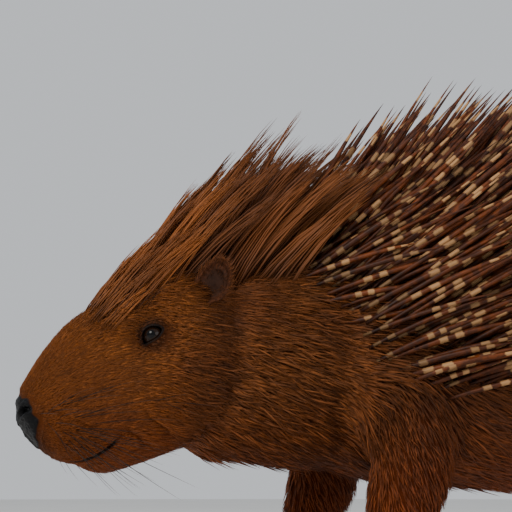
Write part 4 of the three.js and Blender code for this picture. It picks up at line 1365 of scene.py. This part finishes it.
def group(name, inputs, outputs):
    """An empty node group with its sockets, given as name to kind and default."""
    tree = bpy.data.node_groups.new(name, "ShaderNodeTree")
    for label, (kind, default) in inputs.items():
        socket = tree.interface.new_socket(label, in_out="INPUT", socket_type="NodeSocket" + kind)
        if default is not None:
            socket.default_value = default
    for label, kind in outputs.items():
        tree.interface.new_socket(label, in_out="OUTPUT", socket_type="NodeSocket" + kind)
    return tree, tree.nodes.new("NodeGroupInput").outputs, tree.nodes.new("NodeGroupOutput").inputs


def use(tree, shared, **inputs):
    return add(tree, "Group", {"node_tree": shared}, **inputs)


def maths(tree, operation, a, b=0.0, c=0.0):
    return add(tree, "Math", {"operation": operation}, i0=a, i1=b, i2=c)[0]


def times(tree, a, b):
    return maths(tree, "MULTIPLY", a, b)


def blend(tree, share, a, b, kind="MIX"):
    return add(tree, "Mix", {"data_type": "RGBA", "blend_type": kind}, i0=share, i6=a, i7=b)[2]


def fade(tree, a, b, value, low, high, least=0.0, most=1.0):
    """Colour a turning into b while a value goes from low to high."""
    return blend(tree, between(tree, value, low, high, least, most), a, b)


def between(tree, value, low, high, to_low=0.0, to_high=1.0):
    """A smooth step of a value."""
    smooth_step = {"interpolation_type": "SMOOTHSTEP"}
    return add(tree, "MapRange", smooth_step, i0=value, i1=low, i2=high, i3=to_low, i4=to_high)[0]


def noise(tree, place, scale, detail):
    return add(tree, "TexNoise", i0=place, Scale=scale, Detail=detail)[0]


def distance(tree, place, point):
    return add(tree, "VectorMath", {"operation": "DISTANCE"}, i0=place, i1=tuple(point))["Value"]


def object_place(tree):
    return add(tree, "TexCoord")["Object"]


def value_of(tree, name):
    made = add(tree, "Attribute", {"attribute_name": name})
    return made["Vector"] if name == "root_place" else made["Fac"]


FUR = linear(104, 52, 12)
FUR_GOLD = linear(124, 68, 20)
FUR_DARK = linear(54, 25, 7)
# Painted light: a red cast for light thrown up from the ground onto the lowest fur
PAINTED_BOUNCE_RED = linear(130, 55, 10)
UNDER_FUR = (0.42, 0.38, 0.34, 1)
LEATHER = linear(36, 21, 13)
NOSE_BLACK = linear(9, 9, 11)
EAR_SKIN = linear(84, 46, 27)
EAR_SHADE = linear(56, 29, 17)
QUILL_BROWN = linear(93, 43, 10)
QUILL_DARK = linear(55, 24, 7)
CREAM = linear(147, 109, 71)
CLAW_DARK, CLAW_HORN, CLAW_TIP = linear(36, 26, 20), linear(92, 70, 50), linear(150, 122, 90)
WHISKER_ROOT, WHISKER_TIP = linear(20, 14, 10), linear(70, 50, 34)
PUPIL, IRIS_DARK, IRIS, EYE_RIM = linear(3, 3, 4), linear(18, 10, 6), linear(40, 23, 12), linear(16, 10, 8)
FLOOR, FLOOR_PALE = linear(222, 220, 216), linear(232, 231, 228)
NOSE_TIP = to_scene(placed(HEAD, 0.0, 0.0, -4.0))
STRAND_INPUTS = {"Reach": ("Float", 0.5), "Draw": ("Float", 0.5)}


def coat_markings():
    """The coat's colour by its place: gold muzzle, a darker neck that is partly its own dark fur and partly
    painted shade from the crest, a red cast below that is painted light from the ground, dark feet, nose and
    lids.
    """
    tree, given, result = group("coat_markings", {"Place": ("Vector", None)}, {"Colour": "Color"})
    place = given["Place"]
    x, _, z = add(tree, "SeparateXYZ", i0=place)
    colour = fade(tree, FUR, FUR_GOLD, noise(tree, place, 9.0, 3.0), 0.35, 0.65)
    colour = fade(tree, colour, FUR_DARK, noise(tree, place, 42.0, 4.0), 0.48, 0.75, 0, 0.45)
    # Painted light: the low parts turn red as if lit from the ground below
    colour = fade(tree, colour, PAINTED_BOUNCE_RED, z, 0.17, 0.07, 0, 0.75)
    colour = fade(tree, colour, FUR_DARK, z, 0.07, 0.02, 0, 0.75)
    muzzle, cheek, nape, shoulder = ((x + SHIFT[0]) * MM for x in (-340, -270, -230, -70))
    colour = fade(tree, colour, FUR_GOLD, x, cheek, muzzle, 0, 0.5)
    # Darker neck: partly the neck's own dark fur, partly painted shade where the crest shades it
    neck = times(tree, between(tree, x, cheek, nape), between(tree, x, 0, shoulder))
    colour = blend(tree, times(tree, neck, 0.35), colour, FUR_DARK)
    colour = fade(tree, colour, FUR_DARK, distance(tree, place, NOSE_TIP), 0.036, 0.018, 0, 0.7)
    for side in (-1, 1):
        from_eye = distance(tree, place, to_scene(eye_frame(side)[0]))
        colour = fade(tree, colour, FUR_DARK, from_eye, 0.018, 0.010, 0, 0.7)
    tree.links.new(colour, result["Colour"])
    return tree


def strand_shade():
    """Darker at the root as painted shade inside the coat, lighter at the tip, and each strand a little
    different.
    """
    inputs = {"Colour": ("Color", None), **STRAND_INPUTS, "Tip": ("Float", 0.3)}
    tree, given, result = group("strand_shade", inputs, {"Colour": "Color"})
    # Painted shade: the root darkens to 0.45 of its colour, where the strands in front would shade it
    root = between(tree, given["Reach"], 0.0, 0.5, 0.45, 1.0)
    value = times(tree, root, between(tree, given["Draw"], 0, 1, 0.68, 1.3))
    tipped = times(tree, between(tree, given["Reach"], 0.5, 1), given["Tip"])
    value = maths(tree, "ADD", value, times(tree, tipped, given["Draw"]))
    made = add(tree, "HueSaturation", Hue=0.5, Saturation=1.0, Value=value, Fac=1.0, Color=given["Colour"])
    tree.links.new(made[0], result["Colour"])
    return tree


def paired_bands():
    """A mask of narrow pale bands in pairs along a strand."""
    tree, given, result = group("paired_bands", {**STRAND_INPUTS, "Pairs": ("Float", 2.6)}, {"Mask": "Float"})
    uneven = noise(tree, object_place(tree), 380.0, 2.0)
    phase = maths(tree, "MULTIPLY_ADD", given["Reach"], given["Pairs"], given["Draw"])
    away = maths(tree, "ABSOLUTE", maths(tree, "SUBTRACT", maths(tree, "FRACT", phase), 0.5))
    away = maths(tree, "MULTIPLY_ADD", uneven, 0.05, maths(tree, "SUBTRACT", away, 0.025))
    mask = times(tree, between(tree, away, 0.045, 0.07), between(tree, away, 0.165, 0.19, 1, 0))
    ends = between(tree, given["Reach"], 0.97, 0.86)
    tree.links.new(times(tree, mask, ends), result["Mask"])
    return tree


def fine_grain():
    """The height of fine grain on horn, leather and hair."""
    inputs = {"Scale": ("Float", 900.0), "Cells": ("Float", 0.0)}
    tree, given, result = group("fine_grain", inputs, {"Height": "Float"})
    place = object_place(tree)
    even = noise(tree, place, given["Scale"], 4.0)
    cells = add(tree, "TexVoronoi", {"feature": "SMOOTH_F1"}, i0=place, Scale=given["Scale"])["Distance"]
    height = add(tree, "Mix", {"data_type": "FLOAT"}, i0=given["Cells"], i2=even, i3=cells)[0]
    tree.links.new(height, result["Height"])
    return tree


markings, shade, bands, grain = coat_markings(), strand_shade(), paired_bands(), fine_grain()


def material(name):
    made = bpy.data.materials.new(name)
    made.use_nodes = True
    return made, made.node_tree


def finished(made, **inputs):
    """A material with inputs to its shader's own sockets."""
    feed(made.node_tree, made.node_tree.nodes["Principled BSDF"].inputs, inputs)
    return made


def marked(tree):
    """The coat's colour at each strand's root."""
    return use(tree, markings, Place=value_of(tree, "root_place"))["Colour"]


def shaded(tree, colour, tip):
    """A strand's colour, with painted shade at its root and lighter towards its tip."""
    reach, draw = value_of(tree, "reach"), value_of(tree, "draw")
    return use(tree, shade, Colour=colour, Reach=reach, Draw=draw, Tip=tip)["Colour"]


def grained(tree, scale, strength, deep, cells=0.0):
    """The normal of fine grain, as deep as deep says in metres."""
    height = use(tree, grain, Scale=scale, Cells=cells)["Height"]
    return add(tree, "Bump", Strength=strength, Distance=deep, Height=height)[0]


def make_skin_finish():
    made, tree = material("short_coat_and_skin")
    bare, wet_and_shade = value_of(tree, "bare"), value_of(tree, "wet_and_shade")
    under = blend(tree, 1.0, marked(tree), UNDER_FUR, "MULTIPLY")
    mottle = noise(tree, object_place(tree), 260.0, 4.0)
    from_tip = distance(tree, value_of(tree, "root_place"), NOSE_TIP)
    leather = fade(tree, NOSE_BLACK, LEATHER, mottle, 0.4, 0.7, 0.3, 1)
    leather = fade(tree, leather, NOSE_BLACK, from_tip, 0.038, 0.030)
    colour = fade(tree, under, leather, bare, 0.2, 0.7)
    # Painted shade: the mouth's slit and the nostrils darken towards black; the same mask makes them glossy
    # as moist skin
    colour = fade(tree, colour, NOSE_BLACK, wet_and_shade, 0.3, 0.9, 0, 0.8)
    rough = maths(tree, "SUBTRACT", between(tree, bare, 0, 1, 0.85, 0.52), times(tree, wet_and_shade, 0.3))
    normal = grained(tree, 620.0, 0.7, 0.0008, cells=0.75)
    return finished(made, Base_Color=colour, Roughness=rough, Specular_IOR_Level=0.1, Normal=normal)


def make_ear_finish():
    made, tree = material("ear_skin")
    mottle = noise(tree, object_place(tree), 320.0, 4.0)
    colour = fade(tree, EAR_SKIN, EAR_SHADE, mottle, 0.35, 0.7)
    # Darker in the hollow: partly the inner ear's darker skin, partly painted shade in the bowl
    colour = fade(tree, colour, LEATHER, value_of(tree, "hollow"), 0.15, 0.8, 0, 0.85)
    normal = grained(tree, 900.0, 0.35, 0.0004, cells=0.3)
    return finished(made, Base_Color=colour, Roughness=0.7, Specular_IOR_Level=0.12, Normal=normal)


def make_strand_finish(name, tip, roughness):
    made, tree = material(name)
    colour = shaded(tree, marked(tree), tip)
    return finished(made, Base_Color=colour, Roughness=roughness, Specular_IOR_Level=0.25)


def make_quill_finish():
    made, tree = material("banded_quill")
    streaks = noise(tree, object_place(tree), 160.0, 3.0)
    brown = fade(tree, QUILL_DARK, QUILL_BROWN, streaks, 0.35, 0.7)
    reach, draw = value_of(tree, "reach"), value_of(tree, "draw")
    mask = use(tree, bands, Reach=reach, Draw=draw, Pairs=2.0)["Mask"]
    colour = shaded(tree, blend(tree, mask, brown, CREAM), 0.1)
    normal = grained(tree, 700.0, 0.25, 0.0003)
    return finished(made, Base_Color=colour, Roughness=0.5, Specular_IOR_Level=0.2, Normal=normal)


def make_rattle_finish():
    made, tree = material("hollow_quill")
    colour = fade(tree, CREAM, QUILL_BROWN, value_of(tree, "reach"), 0.5, 0.3)
    return finished(made, Base_Color=shaded(tree, colour, 0.0), Roughness=0.45)


def make_claw_finish():
    made, tree = material("claw_horn")
    worn = noise(tree, object_place(tree), 420.0, 4.0)
    colour = fade(tree, CLAW_DARK, CLAW_HORN, worn, 0.4, 0.7)
    colour = fade(tree, colour, CLAW_TIP, value_of(tree, "reach"), 0.55, 1, 0, 0.6)
    return finished(made, Base_Color=colour, Roughness=0.4, Normal=grained(tree, 800.0, 0.4, 0.0004))


def make_whisker_finish():
    made, tree = material("whisker")
    colour = fade(tree, WHISKER_ROOT, WHISKER_TIP, value_of(tree, "reach"), 0.5, 1)
    return finished(made, Base_Color=colour, Roughness=0.5, Specular_IOR_Level=0.2)


def make_eye_finish():
    made, tree = material("dark_eye")
    angle = value_of(tree, "from_pupil")
    spokes = noise(tree, value_of(tree, "round_pupil"), 9.0, 5.0)
    iris = fade(tree, IRIS_DARK, IRIS, spokes, 0.4, 0.65)
    colour = fade(tree, PUPIL, iris, angle, 0.30, 0.38)
    colour = fade(tree, colour, EYE_RIM, angle, 0.78, 0.95)
    return finished(made, Base_Color=colour, Roughness=0.05, Specular_IOR_Level=0.18)


skin_finish = make_skin_finish()
ear_finish = make_ear_finish()
coat_finish = make_strand_finish("short_coat", 0.4, 0.66)
crest_finish = make_strand_finish("crest_bristle", 0.2, 0.55)
quill_finish = make_quill_finish()
rattle_finish = make_rattle_finish()
claw_finish = make_claw_finish()
whisker_finish = make_whisker_finish()
eye_finish = make_eye_finish()

skin_mesh, skin_surface = finished_skin()
legs_and_feet = [part + "_" + name for name, *_ in LEGS for part in ("leg", "foot")]
shown("skin", skin_mesh, skin_finish, "coat", "torso", "neck", "head", "tail", *legs_and_feet)
for side, name in SIDES:
    eyeball(side, name)
    ear(side, name)
quills()
crest()
rattle()
claws()
whiskers()
lashes()
coat()


# Floor, light and camera


def floor():
    made, tree = material("pale_floor")
    colour = blend(tree, noise(tree, object_place(tree), 1.5, 3.0), FLOOR, FLOOR_PALE)
    bpy.ops.mesh.primitive_circle_add(vertices=96, radius=9, fill_type="NGON", location=(0, 0, -0.0004))
    piece = bpy.context.object
    piece.name = "floor"
    piece.data.materials.append(finished(made, Base_Color=colour, Roughness=0.85))


def lamp(name, place, aim, size, power, colour):
    data = bpy.data.lights.new(name, "AREA")
    data.shape = "DISK"
    data.size = size
    data.energy = power
    data.color = colour
    light = linked(name, data)
    light.location = place
    x, y, z = np.array(aim, float) - np.array(place, float)
    light.rotation_euler = (math.atan2(math.hypot(x, y), -z), 0, math.atan2(y, x) - math.pi / 2)


floor()
lamp("key", (-1.6, -1.6, 1.9), (-0.1, 0, 0.2), 1.4, 58, (1, 0.97, 0.92))
lamp("fill", (1.8, -1.9, 1.3), (0, 0, 0.2), 2.0, 18, (0.94, 0.97, 1))
lamp("rim", (0.8, 2.2, 1.7), (0, 0, 0.25), 1.6, 36, (1, 1, 1))

world = bpy.data.worlds.new("studio")
world.use_nodes = True
background = world.node_tree.nodes["Background"].inputs
background["Color"].default_value = (0.86, 0.89, 0.93, 1)
background["Strength"].default_value = 0.75
bpy.context.scene.world = world

# The camera stands close, low by the animal's head, and looks up a little
CAMERA_PLACE = (-0.4467, -0.6735, 0.0895)
CAMERA_TURN = math.radians(-17.4)
CAMERA_RISE = math.radians(14.36)
LENS = 64.3
SENSOR = 36
lens = bpy.data.cameras.new("camera")
lens.lens = LENS
lens.sensor_width = SENSOR
lens.clip_start = 0.02
camera = linked("camera", lens)
camera.location = CAMERA_PLACE
camera.rotation_euler = (math.pi / 2 + CAMERA_RISE, 0, CAMERA_TURN)
bpy.context.scene.camera = camera
